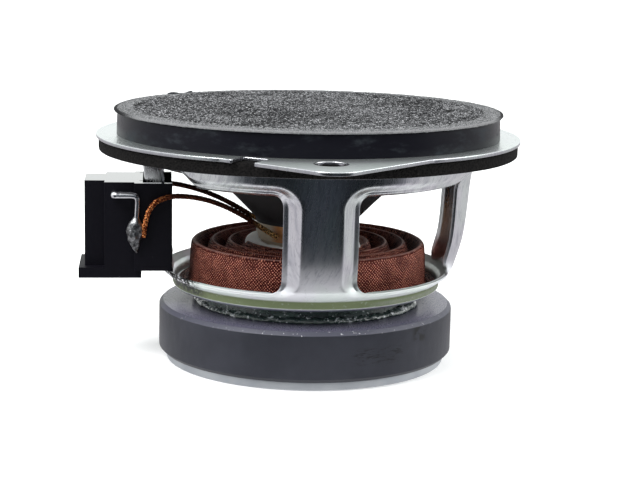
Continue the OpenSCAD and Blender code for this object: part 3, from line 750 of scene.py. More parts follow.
def dark_steel():
    """The top plate under its glue: dark, glassy and slightly green, full of small painted glints."""
    f = Finish("dark_steel", ior=1.5, coat_weight=1.0, coat_roughness=0.06)
    smear = f.noise(3, 4, 0.6, at=f.around(along=0.5))
    wet = f.noise(0.7, 4, 0.7)
    # glint: painted highlights, pale flecks in the base colour
    glint = f.band(wet, 0.60, 0.66)
    colour = f.mix(f.band(smear, 0.4, 0.65), (0.016, 0.034, 0.028), (0.050, 0.085, 0.070))
    colour = f.mix(glint, colour, (0.60, 0.64, 0.64))
    return f.paint(base_color=colour, roughness=0.15 + 0.25 * smear).bump(wet, 0.3)


def ferrite():
    """Ground ferrite: slate grey, with a painted reflection on its flat face and a painted highlight on its
    top chamfer, rubbed patches, pits painted dark as shade, and pale chips.
    """
    f = Finish("ferrite", ior=1.5, specular_ior_level=0.35)
    top = MAGNET_TOP_Z / MM
    turn = f.degrees()
    grain = f.noise(0.25, 3, 0.7)
    cloud = f.noise(8, 4, 0.6)
    # pits: small hollows, painted dark for their shade
    pits = f.band(f.cells(1.1), 0.10, 0.03) * f.band(f.noise(5, 2), 0.52, 0.6)
    smear = f.between(turn, (-82, -74), (-50, -60))
    smear = smear * f.between(f.z, (top - 7.2, top - 5.8), (top - 3.0, top - 4.2))
    smear = smear * f.band(f.noise(0.8, 5, 0.75, at=f.around(along=0.35, up=1.6)), 0.48, 0.62)
    blot = f.between(turn, (-52, -49), (-42, -45)) * f.band(f.z, top - 4.2, top - 3.2)
    blot = blot * f.band(f.noise(1.4, 3, 0.6, at=f.around(along=0.6)), 0.42, 0.58)
    flat = f.band(f.up, 0.9, 0.98)
    upper = f.band(f.up, 0.97, 0.85) * f.band(f.z, top - 3.8, top - 2.8)
    chips = f.band(f.noise(0.5, 2), 0.68, 0.73) * f.band(f.up, 0.1, 0.3) * upper
    # rim: the top chamfer, where a painted highlight goes
    rim = f.band(f.up, 0.3, 0.6) * upper
    colour = f.mix(f.band(cloud, 0.3, 0.7), (0.010, 0.011, 0.018), (0.017, 0.018, 0.027))
    colour = f.mix(grain * 0.25, colour, (0.032, 0.034, 0.042))
    colour = f.mix(smear * 0.8, colour, (0.003, 0.003, 0.004))
    colour = f.mix(blot * 0.8, colour, (0.002, 0.002, 0.002))
    colour = f.mix(pits, colour, (0.003, 0.003, 0.003))
    # painted reflection: the flat faces are painted paler and purple
    colour = f.mix(flat * 0.8, colour, (0.125, 0.118, 0.172))
    colour = f.mix(rim * 0.6, colour, (0.080, 0.080, 0.110))
    colour = f.mix(chips * 0.7, colour, (0.55, 0.55, 0.57))
    rough = 0.42 - 0.20 * flat + 0.12 * grain + 0.2 * smear
    return f.paint(base_color=colour, roughness=rough).bump((grain * 0.5 - pits) * (1 - 0.85 * flat), 0.04)


def clear_glue():
    """Clear glue over the dark plates: wet-looking and green in its depth, with white painted glints on its
    lumps.
    """
    f = Finish("clear_glue", ior=1.5, coat_weight=1.0, coat_roughness=0.04)
    lumps = f.noise(1.1, 4, 0.6)
    # white painted glints on the glue's lumps
    painted_glints = f.band(lumps, 0.55, 0.64)
    colour = f.mix(painted_glints, (0.020, 0.040, 0.034), (0.58, 0.61, 0.62))
    return f.paint(base_color=colour, roughness=0.10 + 0.15 * lumps).bump(lumps, 0.5)


def white_glue():
    """Set white glue, a little yellowed where it is thin."""
    f = Finish("white_glue", ior=1.45, coat_weight=0.3, coat_roughness=0.1)
    lumps = f.noise(0.8, 2)
    return f.paint(base_color=f.mix(lumps, (0.95, 0.94, 0.92), (0.86, 0.83, 0.79)),
                   roughness=0.3 + 0.2 * lumps).bump(lumps, 0.1)


def red_cloth():
    """Resin-dipped woven cloth in a red brown: uneven slanting threads with painted glints, painted shade
    between them and in the valley, and a painted highlight on its crests.
    """
    f = Finish("red_cloth", ior=1.5, specular_ior_level=0.07)
    top, ridge = SPIDER_TOP_Z / MM, RIDGE_R / MM
    thread, wall_r, slant = 0.62, 24.0, 0.55
    turn = f.angle * (wall_r / thread * math.pi)
    rise = (f.z + f.radius * slant) * (math.pi / thread)
    across = f.math("SINE", turn + rise + 5 * f.noise(1.3, 2))
    along = f.math("SINE", turn - rise + 4 * f.noise(1.0, 2))
    over = f.math("SIGN", across * along)
    weave = 0.5 + 0.5 * over * (f.math("ABSOLUTE", across) - f.math("ABSOLUTE", along))
    knots = f.math("ABSOLUTE", across * along)
    patch = f.noise(2.6, 4, 0.65)
    speck = f.noise(0.40, 3, 0.75)
    # lit: painted glints on the threads
    lit = f.band(knots * 0.9 + speck + patch * 0.5, 1.34, 1.52)
    # crest: a painted highlight along the top of the outer ridge, where the light falls
    crest = f.band(f.up, 0.70, 0.97) * f.band(f.z, top - 1.0, top - 0.2)
    # deep: painted shade in the valley inside the outer ridge
    deep = f.band(f.z, top - 1.6, top - 3.3) * f.band(f.radius, ridge + 0.3, ridge - 0.3)
    colour = f.mix(f.band(patch, 0.35, 0.65), (0.050, 0.0046, 0.0040), (0.090, 0.0092, 0.0072))
    colour = f.mix(f.band(speck, 0.5, 0.35) * 0.6, colour, (0.014, 0.003, 0.003))
    # painted shade between the threads
    colour = f.mix(f.band(knots, 0.30, 0.10) * 0.85, colour, (0.010, 0.0015, 0.0015))
    colour = f.mix(lit * 0.80, colour, (0.82, 0.34, 0.24))
    colour = f.mix(crest * (0.35 + 0.7 * speck), colour, (0.40, 0.22, 0.19))
    colour = f.mix(deep * 0.20, colour, (0.020, 0.004, 0.004))
    relief = weave * 0.6 + knots * 0.4 + speck * 0.8
    return f.paint(base_color=colour, roughness=0.66 - 0.25 * lit).bump(relief, 0.12)


def former_paper():
    """Brown wound paper with its fibres round the tube."""
    f = Finish("former_paper")
    fibre = f.noise(0.6, 3, at=f.around(along=0.5, up=2))
    return f.paint(base_color=f.mix(fibre, (0.34, 0.27, 0.195), (0.20, 0.155, 0.11)),
                   roughness=0.5 + 0.3 * fibre).bump(fibre, 0.04)


def collar_paper():
    """Pale tape round the former, gone golden brown under the lacquer where the leads arrive."""
    f = Finish("collar_paper", ior=1.5)
    fibre = f.noise(0.7, 3, at=f.around(along=0.6, up=2))
    pale = f.mix(fibre, (0.44, 0.36, 0.26), (0.28, 0.22, 0.16))
    golden = f.mix(fibre, (0.50, 0.20, 0.045), (0.22, 0.08, 0.02))
    return f.paint(base_color=f.mix(f.band(f.x, -8.2, -6.4), pale, golden),
                   roughness=0.28 + 0.3 * fibre).bump(fibre, 0.04)


def coil_copper():
    """Close turns of enamelled wire."""
    f = Finish("coil_copper", metallic=1.0, coat_weight=0.4)
    wire = 0.22
    turns = f.math("SINE", f.z * (FULL_TURN / wire)) * 0.5 + 0.5
    tarnish = f.noise(2, 2)
    return f.paint(base_color=f.mix(tarnish, (0.62, 0.25, 0.12), (0.40, 0.14, 0.06)),
                   roughness=0.25 + 0.15 * tarnish).bump(turns, 0.05)


def braid_copper(name, bright_end):
    """Braided copper: dark brown between painted glints, with bright orange painted glints towards the solder
    end and golden painted highlights at the coil.
    """
    f = Finish(name, metallic=1.0)
    # glint: noise for the painted glints on the strands
    glint = f.noise(0.34, 2, 0.6)
    colour = f.mix(f.band(glint, 0.35, 0.65), (0.055, 0.014, 0.010), (0.23, 0.078, 0.045))
    if bright_end:
        # painted glints, bright orange, towards the solder end
        painted_glint_end = f.band(f.x, -27.5, -30.5)
        warm = f.mix(f.band(glint, 0.44, 0.58), (0.13, 0.016, 0.006), (1.0, 0.39, 0.14))
        colour = f.mix(painted_glint_end, colour, warm)
    # painted golden highlights where the lead reaches the coil
    at_coil = f.band(f.x, -12.0, -9.5)
    golden = f.mix(f.band(glint, 0.4, 0.6), (0.13, 0.05, 0.02), (0.95, 0.62, 0.26))
    colour = f.mix(at_coil, colour, golden)
    return f.paint(base_color=colour, roughness=0.28 + 0.2 * glint)


def cone_paper():
    """Black pulp paper with soft fibres."""
    f = Finish("cone_paper")
    fibre = f.noise(0.5, 4, 0.7)
    return f.paint(base_color=f.mix(fibre, (0.006, 0.005, 0.006), (0.018, 0.015, 0.017)),
                   roughness=0.7 + 0.2 * fibre).bump(fibre, 0.06)


def black_rubber():
    """Matt black rubber with a fine skin."""
    f = Finish("black_rubber")
    skin = f.noise(0.3, 2)
    return f.paint(base_color=f.mix(skin, (0.010, 0.010, 0.010), (0.022, 0.022, 0.022)),
                   roughness=0.55 + 0.2 * skin).bump(skin, 0.02)


def gasket_foam():
    """Fine closed-cell foam: open cells on its cut edge, painted darker in their middles as shade, and a
    painted grey highlight on its downward faces and bottom edge.
    """
    f = Finish("gasket_foam", ior=1.4, specular_ior_level=0.12)
    cell = f.cells(0.38)
    coarse = f.noise(1.7, 4, 0.7)
    dust = f.band(f.noise(0.45, 2, 0.5), 0.66, 0.74)
    # open cells painted darker in their middles, as shade
    colour = f.mix(f.band(cell, 0.1, 0.7), (0.0012, 0.0012, 0.0014), (0.0065, 0.0058, 0.0058))
    colour = f.mix(dust * 0.16, colour, (0.07, 0.065, 0.06))
    # face: a painted grey highlight on the downward faces and the rounded bottom edge
    face = f.band(f.up, -0.3, -0.9)
    colour = f.mix(face * 0.6, colour, (0.10, 0.10, 0.11))
    return f.paint(base_color=colour, roughness=0.78 + 0.1 * coarse).bump(cell * 0.7 + coarse * 0.5, 0.14)


def ring_plastic():
    """Moulded black plastic with handling haze in patches."""
    f = Finish("ring_plastic", ior=1.5, specular_ior_level=0.09)
    haze = f.noise(5, 5, 0.7, at=f.around(along=0.6, up=1.3))
    grain = f.noise(0.22, 2)
    cloud = f.band(haze, 0.50, 0.75)
    colour = f.mix(cloud, (0.0055, 0.0055, 0.0085), (0.022, 0.026, 0.031))
    return f.paint(base_color=colour, roughness=0.27 + 0.25 * cloud + 0.08 * grain).bump(grain, 0.012)


def grey_felt():
    """Needled felt: pale tufts over dark gaps, painted as light on the tufts and shade in the gaps, pressed
    flatter along the rim, with a painted highlight along its front edge.
    """
    f = Finish("grey_felt", specular_ior_level=0.15)
    felt_r, top, rim_r = FELT_R / MM, FELT_TOP_Z / MM, (FELT_R - FELT_RIM_W) / MM
    tuft = f.noise(0.26, 2, 0.6)
    strand = f.noise(0.45, 3, 0.7, distortion=1.2)
    # height: the higher the felt, the paler; painted light on the tufts and painted shade in the gaps between
    # them
    height = f.band(f.z, top - 0.35, top)
    pale = f.band(tuft * 0.7 + strand * 0.4 + height * 0.35, 0.68, 1.04)
    colour = f.ramp(pale, [(0.0, (0.004, 0.004, 0.005)), (0.45, (0.030, 0.030, 0.032)),
                           (0.8, (0.125, 0.127, 0.132)), (1.0, (0.46, 0.46, 0.48))])
    rim = f.band(f.radius, rim_r - 0.6, rim_r + 0.4)
    pressed = f.mix(f.band(tuft * 0.6 + strand * 0.4, 0.42, 0.60), (0.012, 0.012, 0.013), (0.24, 0.243, 0.25))
    colour = f.mix(rim, colour, pressed)
    for x, y in ((-34.0, 5.1), (28.2, -2.9)):
        near = f.math("SQRT", (f.x - x) ** 2 + ((f.y - y) * 0.4) ** 2)
        colour = f.mix(f.band(near + tuft * 0.6, 1.15, 0.75) * 0.9, colour, (0.004, 0.004, 0.004))
    # edge: a painted highlight along the front edge; the rest of the edge is darker
    edge = f.band(f.radius, felt_r - 0.8, felt_r - 0.4)
    front = f.band(f.y, -10, -20)
    colour = f.mix(edge * front, colour, f.mix(tuft, (0.03, 0.03, 0.03), (0.30, 0.30, 0.31)))
    colour = f.mix(edge * (1 - front), colour, (0.008, 0.008, 0.009))
    relief = (tuft * 0.7 + strand * 0.6) * (1 - 0.5 * rim)
    return f.paint(base_color=colour, roughness=0.9 - 0.08 * tuft).bump(relief, 0.28)


def housing_plastic():
    """Smooth black plastic, mirror-like on the flat top and faintly grained on the sides."""
    f = Finish("housing_plastic", ior=1.5, coat_weight=0.0, coat_ior=2.2, coat_roughness=0.05,
               specular_ior_level=0.10)
    grain = f.noise(0.3, 3)
    dust = f.band(f.cells(3.4), 0.045, 0.03)
    top_z = HOUSING_HIGH.z / MM
    top = f.band(f.up, 0.9, 0.98) * f.band(f.z, top_z - 1.3, top_z - 0.8)
    colour = f.mix(grain, (0.0022, 0.0020, 0.0045), (0.0050, 0.0046, 0.0075))
    colour = f.mix(dust * 0.6, colour, (0.45, 0.45, 0.45))
    rough = (0.42 + 0.15 * grain) * (1 - top) + 0.07 * top
    return f.paint(base_color=colour, roughness=rough, coat_weight=top).bump(grain * (1 - top), 0.01)


def tinned_metal():
    """Tinned wire: bright, faintly drawn along its length."""
    f = Finish("tinned_metal", metallic=1.0)
    scratch = f.noise(0.35, 3, 0.6)
    return f.paint(base_color=f.mix(scratch, (0.86, 0.86, 0.88), (0.62, 0.62, 0.66)),
                   roughness=0.14 + 0.2 * scratch).bump(scratch, 0.015)


def solder_tin():
    """Solder with frosted and bright patches and traces of brown flux."""
    f = Finish("solder_tin", metallic=1.0)
    frost = f.noise(0.8, 4, 0.7)
    flux = f.band(f.noise(1.1, 2), 0.55, 0.68)
    colour = f.mix(f.band(frost, 0.40, 0.72), (0.10, 0.10, 0.105), (0.52, 0.53, 0.54))
    colour = f.mix(flux * 0.6, colour, (0.09, 0.055, 0.03))
    return f.paint(base_color=colour, roughness=0.22 + 0.3 * frost).bump(frost, 0.10)


def card_glow():
    """A pale glow that fades out towards the card's edge."""
    f = Finish("bounce_card", roughness=1.0, emission_strength=1.0, base_color=(0, 0, 0, 1))
    glow = f.mix(f.noise(60), (0.86, 0.86, 0.88), (0.92, 0.92, 0.94))
    return f.paint(emission_color=glow, alpha=f.band(f.radius, 68, 38))


STEEL = zinc_steel()
PLATE = plate_zinc()
DARK = dark_steel()
FERRITE = ferrite()
CLEAR = clear_glue()
WHITE = white_glue()
CLOTH = red_cloth()
PAPER = former_paper()
TAPE = collar_paper()
WIRE = coil_copper()
BRAID_FRONT = braid_copper("braid_front", True)
BRAID_REAR = braid_copper("braid_rear", False)
PULP = cone_paper()
RUBBER = black_rubber()
FOAM = gasket_foam()
RING = ring_plastic()
FELT = grey_felt()
HOUSING = housing_plastic()
TIN = tinned_metal()
SOLDER = solder_tin()


# ---- magnet system ----

def chipped(depth, size, seed):
    """Moves points in and out a little, as small chips and unevenness do."""
    shift = Vector((seed, seed * 2, seed * 3))

    def warp(point, angle):
        rough = noise.noise(point / size + shift) + 0.5 * noise.noise(point * 2.7 / size + shift)
        radial = Vector((point.x, point.y, 0)).normalized()
        return point + (radial + Vector((0, 0, 0.3))) * depth * min(rough, 0.25)
    return warp


def make_magnet():
    """The ring magnet, with chamfered and slightly chipped edges."""
    size, bottom = high("magnet"), low("magnet").z
    bore, chamfer, turn = 13 * MM, 0.75 * MM, 0.25 * MM
    low_edge, high_edge = bottom + chamfer, size.z - chamfer
    outline = rounded([(bore, bottom, 0), (size.x - chamfer, bottom, turn), (size.x, low_edge, turn),
                       (size.x, high_edge, turn), (size.x - chamfer, size.z, turn), (bore, size.z, 0)])
    side = [(size.x, bottom + chamfer + (size.z - bottom - 2 * chamfer) * k / 9) for k in range(1, 9)]
    split = max(i for i, p in enumerate(outline)
                if p[1] < (bottom + size.z) / 2 and p[0] > size.x - 1e-6)
    outline = outline[:split + 1] + side + outline[split + 1:]
    magnet = lathe("magnet_ring", outline, FERRITE, steps=320, warp=chipped(0.05 * MM, 1.4 * MM, 3))
    return belongs(magnet, FIXED, "ferrite", "magnet")


def make_plates():
    """The turned back plate with the pole's seat in it, and the top plate."""
    back = high("back_plate")
    seat_r, seat_z, edge = 9.37 * MM, back.z - 0.8 * MM, 0.35 * MM
    outline = rounded([(0, 0, 0), (back.x, 0, edge), (back.x, back.z, edge), (seat_r, back.z, 0),
                       (seat_r, seat_z, 0), (0, seat_z, 0)])
    plate = lathe("back_plate_turned", outline, PLATE, steps=256)
    plate.data.set_sharp_from_angle(angle=math.radians(50))
    belongs(plate, FIXED, "zinc_steel", "back_plate")
    bottom, size = low("top_plate").z, high("top_plate")
    bore, edge = 10.7 * MM, 0.3 * MM
    outline = rounded([(bore, bottom, 0), (size.x, bottom, 0), (size.x, size.z, edge), (bore, size.z, 0)])
    top = lathe("top_plate_turned", outline, DARK, steps=192)
    top.data.set_sharp_from_angle(angle=math.radians(50))
    belongs(top, FIXED, "dark_steel", "top_plate")


def make_plate_glue():
    """The squeezed-out bead where the top plate stands on the magnet, wavy and lumpy."""
    r, z, bead_w = high("top_plate").x, MAGNET_TOP_Z, 1.0 * MM

    def warp(point, angle):
        out = outward(angle)
        wave = noise.noise(out * 4 + Vector((5, 1, 0)))
        fine = noise.noise(out * 22 + point * 600)
        over = math.hypot(point.x, point.y) - r
        grow = 1 + 0.55 * wave + 0.35 * fine
        return out * (r + max(0, over) * grow) + Vector((0, 0, z + (point.z - z) * grow))

    outline = [(r, z)] + [(r + x * bead_w, z + y * bead_w) for x, y in arc((0, 0), 1.0, 0, 90, 8)]
    bead = lathe("plate_glue_bead", outline, CLEAR, steps=400, warp=warp)
    belongs(bead, FIXED, "clear_glue", "plate_glue")


# ---- spider ----

SPIDER_DECK = low("spider").z
SPIDER_OUT = high("spider").x
PITCH = 3.6 * MM
DEPTH = 3.3 * MM
ROLLS = 3
ROLL_STEPS = 24
CLOTH_T = 0.4 * MM


def spider_height(radius):
    """Height of the cloth inside its outermost ridge: rounded crests over deep valleys."""
    phase = (RIDGE_R - radius) / PITCH * FULL_TURN
    return SPIDER_TOP_Z - DEPTH * (1 - (0.5 + 0.5 * math.cos(phase)) ** 0.85)


def spider_line():
    """The cloth's upper face as (radius, height), in three parts: its wall, its rolls and its neck."""
    foot_r = 24.8 * MM
    wall = smooth_curve([(SPIDER_OUT, SPIDER_DECK + CLOTH_T), (foot_r, SPIDER_DECK + CLOTH_T),
                         (24.25 * MM, SPIDER_DECK + 1.1 * MM), (24.1 * MM, SPIDER_DECK + 4.2 * MM),
                         (23.9 * MM, SPIDER_TOP_Z - 1.1 * MM), (23.6 * MM, SPIDER_TOP_Z - 0.3 * MM),
                         (RIDGE_R, SPIDER_TOP_Z)], 6)
    rolls = [RIDGE_R - PITCH * k / ROLL_STEPS for k in range(1, ROLL_STEPS * ROLLS + 1)]
    end, neck_r, slope = rolls[-1], high("coil_former").x, 0.6
    neck = [end - (end - neck_r) * k / 4 for k in range(1, 5)]
    return ([tuple(p) for p in wall], [(r, spider_height(r)) for r in rolls],
            [(r, SPIDER_TOP_Z - (end - r) * slope) for r in neck])


def cloth_strip(name, line):
    """One band of the spider, sagging and fraying alike where two bands meet."""
    seed = Vector((9, 4, 2))

    def warp(point, angle):
        sag = 0.10 * MM * noise.noise(outward(angle) * 1.6 + seed)
        fray = 0.035 * MM * noise.noise(point * 900 + seed)
        lift = clamped((point.z - SPIDER_DECK) / (2 * MM))
        aside = 0.3 * MM * clamped((math.hypot(point.x, point.y) - 11 * MM) / (6 * MM))
        return point + Vector((aside, 0, (sag + fray) * lift))

    under = [(r, z - CLOTH_T) for r, z in reversed(line)]
    return lathe(name, list(line) + under, CLOTH, steps=384, warp=warp)


def share_of(weight):
    """The place between a blend's ends at which a point follows the second body by this weight."""
    return 0.5 - math.sin(math.asin(1 - 2 * weight) / 3)


def blend_by_height(piece, z_a, weight_a, z_b, weight_b):
    """Works out where a blend that followed the cone by weight_a at height z_a and weight_b at z_b would
    start and how steep it would be, but only bakes the piece's transform; the piece is not bent.
    """
    t_a, t_b = share_of(weight_a), share_of(weight_b)
    per_t = (z_b - z_a) / (t_b - t_a)
    start = z_a - t_a * per_t
    start + per_t
    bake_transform(piece)


def make_spider():
    """The wall stays with the basket and the neck moves with the cone; the half rolls ride on neither body.
    """
    wall, rolls, neck = spider_line()
    first = cloth_strip("spider_wall", wall)
    belongs(first, FIXED, "red_cloth", "spider")
    halves = 2 * ROLLS
    per_half = len(rolls) // halves
    line = [wall[-1]] + rolls
    for k in range(halves):
        part = line[k * per_half:(k + 1) * per_half + 1]
        strip = cloth_strip(f"spider_roll_{k + 1}", part)
        blend_by_height(strip, part[0][1], k / halves, part[-1][1], (k + 1) / halves)
        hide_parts("spider")
    last = cloth_strip("spider_neck", [line[-1]] + neck)
    belongs(last, MOVING, "red_cloth", "spider")


# ---- moving parts ----

def make_neck_glue():
    """White glue round the former's foot on the spider, thick in three places."""
    r, z = high("coil_former").x, SPIDER_TOP_Z - 0.5 * MM
    ring_w, ring_h, foot_h, blob_width = 1.5 * MM, 1.3 * MM, 0.4 * MM, 0.16
    thick_at = [math.radians(degrees) for degrees in (187, 322, 90)]

    def warp(point, angle):
        out = outward(angle)
        near = max(math.exp(-(math.remainder(angle - a, FULL_TURN) / blob_width) ** 2) for a in thick_at)
        size = 0.35 + 0.25 * noise.noise(out * 5) + 1.5 * near
        over = math.hypot(point.x, point.y) - r
        return out * (r + over * size) + Vector((0, 0, z + (point.z - z) * size))

    outline = [(r, z - foot_h)] + [(r + x * ring_w, z + y * ring_h) for x, y in arc((0, 0), 1, -10, 90, 9)]
    glue = lathe("neck_glue_ring", outline, WHITE, steps=256, warp=warp)
    belongs(glue, MOVING, "white_glue", "neck_glue")


def oval(centre_x, centre_z, reach, rise, start, end, step=6):
    """Points on an oval in (radius, height), between two angles in whole degrees."""
    way = step if end > start else -step
    return [(centre_x + reach * math.cos(math.radians(a)), centre_z + rise * math.sin(math.radians(a)))
            for a in range(start, end + (1 if way > 0 else -1), way)]


def make_cone():
    """The pressed paper cone, flaring from the former to the surround, and the cap over its middle."""
    size, base, t = high("cone"), low("cone").z, 0.45 * MM
    inner = high("coil_former").x + 0.02 * MM
    flare = smooth_curve(
        [(inner + t + 0.1 * MM, base + 0.8 * MM), (12.4 * MM, base + 2.7 * MM), (15.4 * MM, base + 5.7 * MM),
         (21 * MM, base + 11 * MM), (size.x - 1.5 * MM, size.z - t)], 8)
    line = [(inner + t, base), (inner + t, base + 0.4 * MM)] + [tuple(p) for p in flare]
    front = [(r - t * 0.8, z + t * 0.7) for r, z in reversed(line[1:])]
    section = line + [(size.x, size.z - t), (size.x, size.z)] + front + [(inner, base)]
    cone = lathe("cone_body", section, PULP, steps=224)
    cone.data.set_sharp_from_angle(angle=math.radians(60))
    belongs(cone, MOVING, "cone_paper", "cone")
    base, size, t = low("dust_cap").z, high("dust_cap"), 0.4 * MM
    rise = size.z - base
    dome = oval(0, base, size.x, rise, 0, 90) + oval(0, base, size.x - t, rise - t, 90, 0)
    belongs(lathe("dust_cap_dome", dome, PULP, steps=160), MOVING, "cone_paper", "dust_cap")


def make_surround():
    """The rubber roll, in an outer and an inner half, each with its flat land; the lands ride on the basket
    and the cone, the halves on neither.
    """
    base, land_r = low("surround").z, high("surround").x
    t, rise = 0.4 * MM, 2.1 * MM
    cone_r, in_r, out_r = 27.1 * MM, 28.4 * MM, 33.8 * MM
    mid, half = (in_r + out_r) / 2, (out_r - in_r) / 2
    for name, start, end, body in (("surround_outer", 0, 90, FIXED), ("surround_inner", 90, 180, MOVING)):
        section = oval(mid, base + t, half + t / 2, rise, start, end)
        section += oval(mid, base + t, half - t / 2, rise - t, end, start)
        roll = lathe(name, section, RUBBER, steps=224)
        foot_weight = 0.02 if body == FIXED else 0.98
        blend_by_height(roll, base + t, foot_weight, base + t + rise, 0.5)
        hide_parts("surround")
        land = (out_r - t, land_r) if body == FIXED else (cone_r, in_r + t)
        strip = lathe(name + "_land", box_outline(*land, base, base + t), RUBBER, steps=192)
        strip.data.set_sharp_from_angle(angle=math.radians(50))
        belongs(strip, body, "black_rubber", "surround")


# ---- front ----

def make_gasket():
    """The foam ring under the flange, its cut edge porous and unevenly pressed."""
    size, base = high("rear_gasket"), low("rear_gasket").z
    bore, edge = WALL[-1][1] + FOOT_BEND + 0.8 * MM, 0.25 * MM
    outline = rounded([(bore, base, edge), (size.x, base, edge), (size.x, size.z, 0), (bore, size.z, 0)], 3)
    split = outline.index((size.x, size.z))
    side = [(size.x, base + (size.z - base) * k / 6) for k in range(1, 6)]
    outline = outline[:split] + side + outline[split:]

    def warp(point, angle):
        out = outward(angle)
        pore = noise.noise(point * 1700) * 0.05 * MM
        press = noise.noise(out * 2.2) * 0.14 * MM
        fall = (size.z - point.z) / (size.z - base)
        return point + out * (pore + press * fall) + Vector((0, 0, press * 0.8 * fall))

    foam = lathe("rear_gasket_foam", outline, FOAM, steps=520, warp=warp)
    belongs(foam, FIXED, "gasket_foam", "rear_gasket")


def make_ring():
    """The moulded front ring: a thin wall on the flange with a ledge on top for the felt."""
    t, bore, rebate_r = 0.4 * MM, 34.2 * MM, RING_R - 0.7 * MM
    foot_edge, top_edge, ledge_edge = 0.12 * MM, 0.25 * MM, 0.2 * MM
    bottom, top = FLANGE_TOP_Z, RING_TOP_Z
    outline = rounded([(rebate_r, bottom, 0), (RING_R, bottom, foot_edge),
                       (RING_R - foot_edge, top, top_edge), (bore, top, ledge_edge),
                       (bore, bottom + t, 0), (rebate_r, bottom + t, 0)])
    ring = lathe("front_ring_moulded", outline, RING, steps=320)
    ring.data.set_sharp_from_angle(angle=math.radians(50))
    belongs(ring, FIXED, "ring_plastic", "front_ring")
    make_lugs(high("front_ring").z)


def make_lugs(lug_top):
    """Two small upright lugs with worn tops, side by side on the ring's edge."""
    width, gap, depth, thick = 3.2 * MM, 0.15 * MM, 1 * MM, 0.9 * MM
    stand = Matrix(((0, 0, 1, 0), (1, 0, 0, 0), (0, 1, 0, 0), (0, 0, 0, 1)))
    place = Matrix.Translation((RING_R - thick, 0, 0))
    for k, rise in enumerate(((1.0, 0.7, 0.5, 0.15), (0.55, 0.9, 1.0, 0.8))):
        worn_top = []
        for i, share in enumerate(rise):
            along = (k - 1) * width + (gap if k else -gap) + width * i / (len(rise) - 1)
            worn_top.append((along, RING_TOP_Z + (lug_top - RING_TOP_Z) * share))
        foot_z = RING_TOP_Z - depth
        outline = [(worn_top[0][0], foot_z)] + worn_top + [(worn_top[-1][0], foot_z)]
        lug = prism(f"front_ring_lug_{k + 1}", outline, 0, thick, RING)
        lug.data.transform(Matrix.Rotation(math.radians(132), 4, "Z") @ place @ stand)
        break_edges(lug, 0.12 * MM)
        belongs(settle(lug), FIXED, "ring_plastic", "front_ring")


def make_felt():
    """The felt disc: tufty on top, pressed thin along its rim, with a frayed edge."""
    r, bottom, top = FELT_R, RING_TOP_Z, RING_TOP_Z + 0.65 * MM
    tufty_r = r - FELT_RIM_W
    line = [(tufty_r * k / 100, top) for k in range(101)]
    line += [(tufty_r + 0.5 * MM * k, top - 0.10 * MM * min(k, 2) / 2) for k in range(1, 6)]
    line += [(r - 0.25 * MM, top - 0.14 * MM), (r, top - 0.3 * MM)]
    line += [(r - 0.05 * MM, bottom + 0.08 * MM), (r - 0.3 * MM, bottom), (0.0, bottom)]

    def warp(point, angle):
        if point.z <= bottom + 1e-6:
            return point
        radius = math.hypot(point.x, point.y)
        tuft = noise.noise(point * 2300) + 0.6 * noise.noise(point * 4700)
        sink, fray = 0.16 * tuft, 0
        if radius < tufty_r:
            sink = 0.34 * tuft + noise.noise(point * 90) * 0.08 - 0.12
        if radius > r - 0.4 * MM:
            fray = 0.10 * noise.noise(point * 2500) + 0.08 * noise.noise(point * 500)
        return point + Vector((0, 0, clamped(sink, -0.45, 0.0) * MM)) + outward(angle) * fray * MM

    felt = lathe("felt_disc", line, FELT, steps=720, closed=False, warp=warp)
    belongs(felt, FIXED, "grey_felt", "felt_screen")


# ---- connector ----

LEG_FACE = 33.2 * MM
END_X = LEG_FACE + 11.7 * MM
STEP_X = END_X - 4 * MM
INNER_X = LEG_FACE - 5.7 * MM
CHEEK_Y = HOUSING_HIGH.y
NARROW_Y, MIDDLE_Y, CHANNEL_Y = 4.65 * MM, 7.0 * MM, 7.3 * MM
BODY_Z = HOUSING_LOW.z + 1.7 * MM
PIN_X = END_X - 6 * MM
TAIL_X = PIN_X - 4.4 * MM
PIN_Y = CHEEK_Y + 0.65 * MM
PIN_Z = HOUSING_HIGH.z - 2.3 * MM


def housing_plan():
    """The housing seen from above: two cheeks beside the leg and a body that narrows in two steps."""
    cheek_x, wall_x = LEG_FACE + 1.8 * MM, LEG_FACE + 0.15 * MM
    edge, step_edge = 0.25 * MM, 0.1 * MM
    half = [(-INNER_X, CHANNEL_Y, edge), (-wall_x, CHANNEL_Y, 0)]
    outside = [(-INNER_X, -CHEEK_Y, edge), (-cheek_x, -CHEEK_Y, step_edge), (-cheek_x, -MIDDLE_Y, 0),
               (-STEP_X, -MIDDLE_Y, step_edge), (-STEP_X, -NARROW_Y, 0), (-END_X, -NARROW_Y, edge)]
    plan = [(x, -y, r) for x, y, r in half[::-1]] + outside
    plan += [(x, -y, r) for x, y, r in outside[::-1]] + half
    return rounded(plan, 3), wall_x


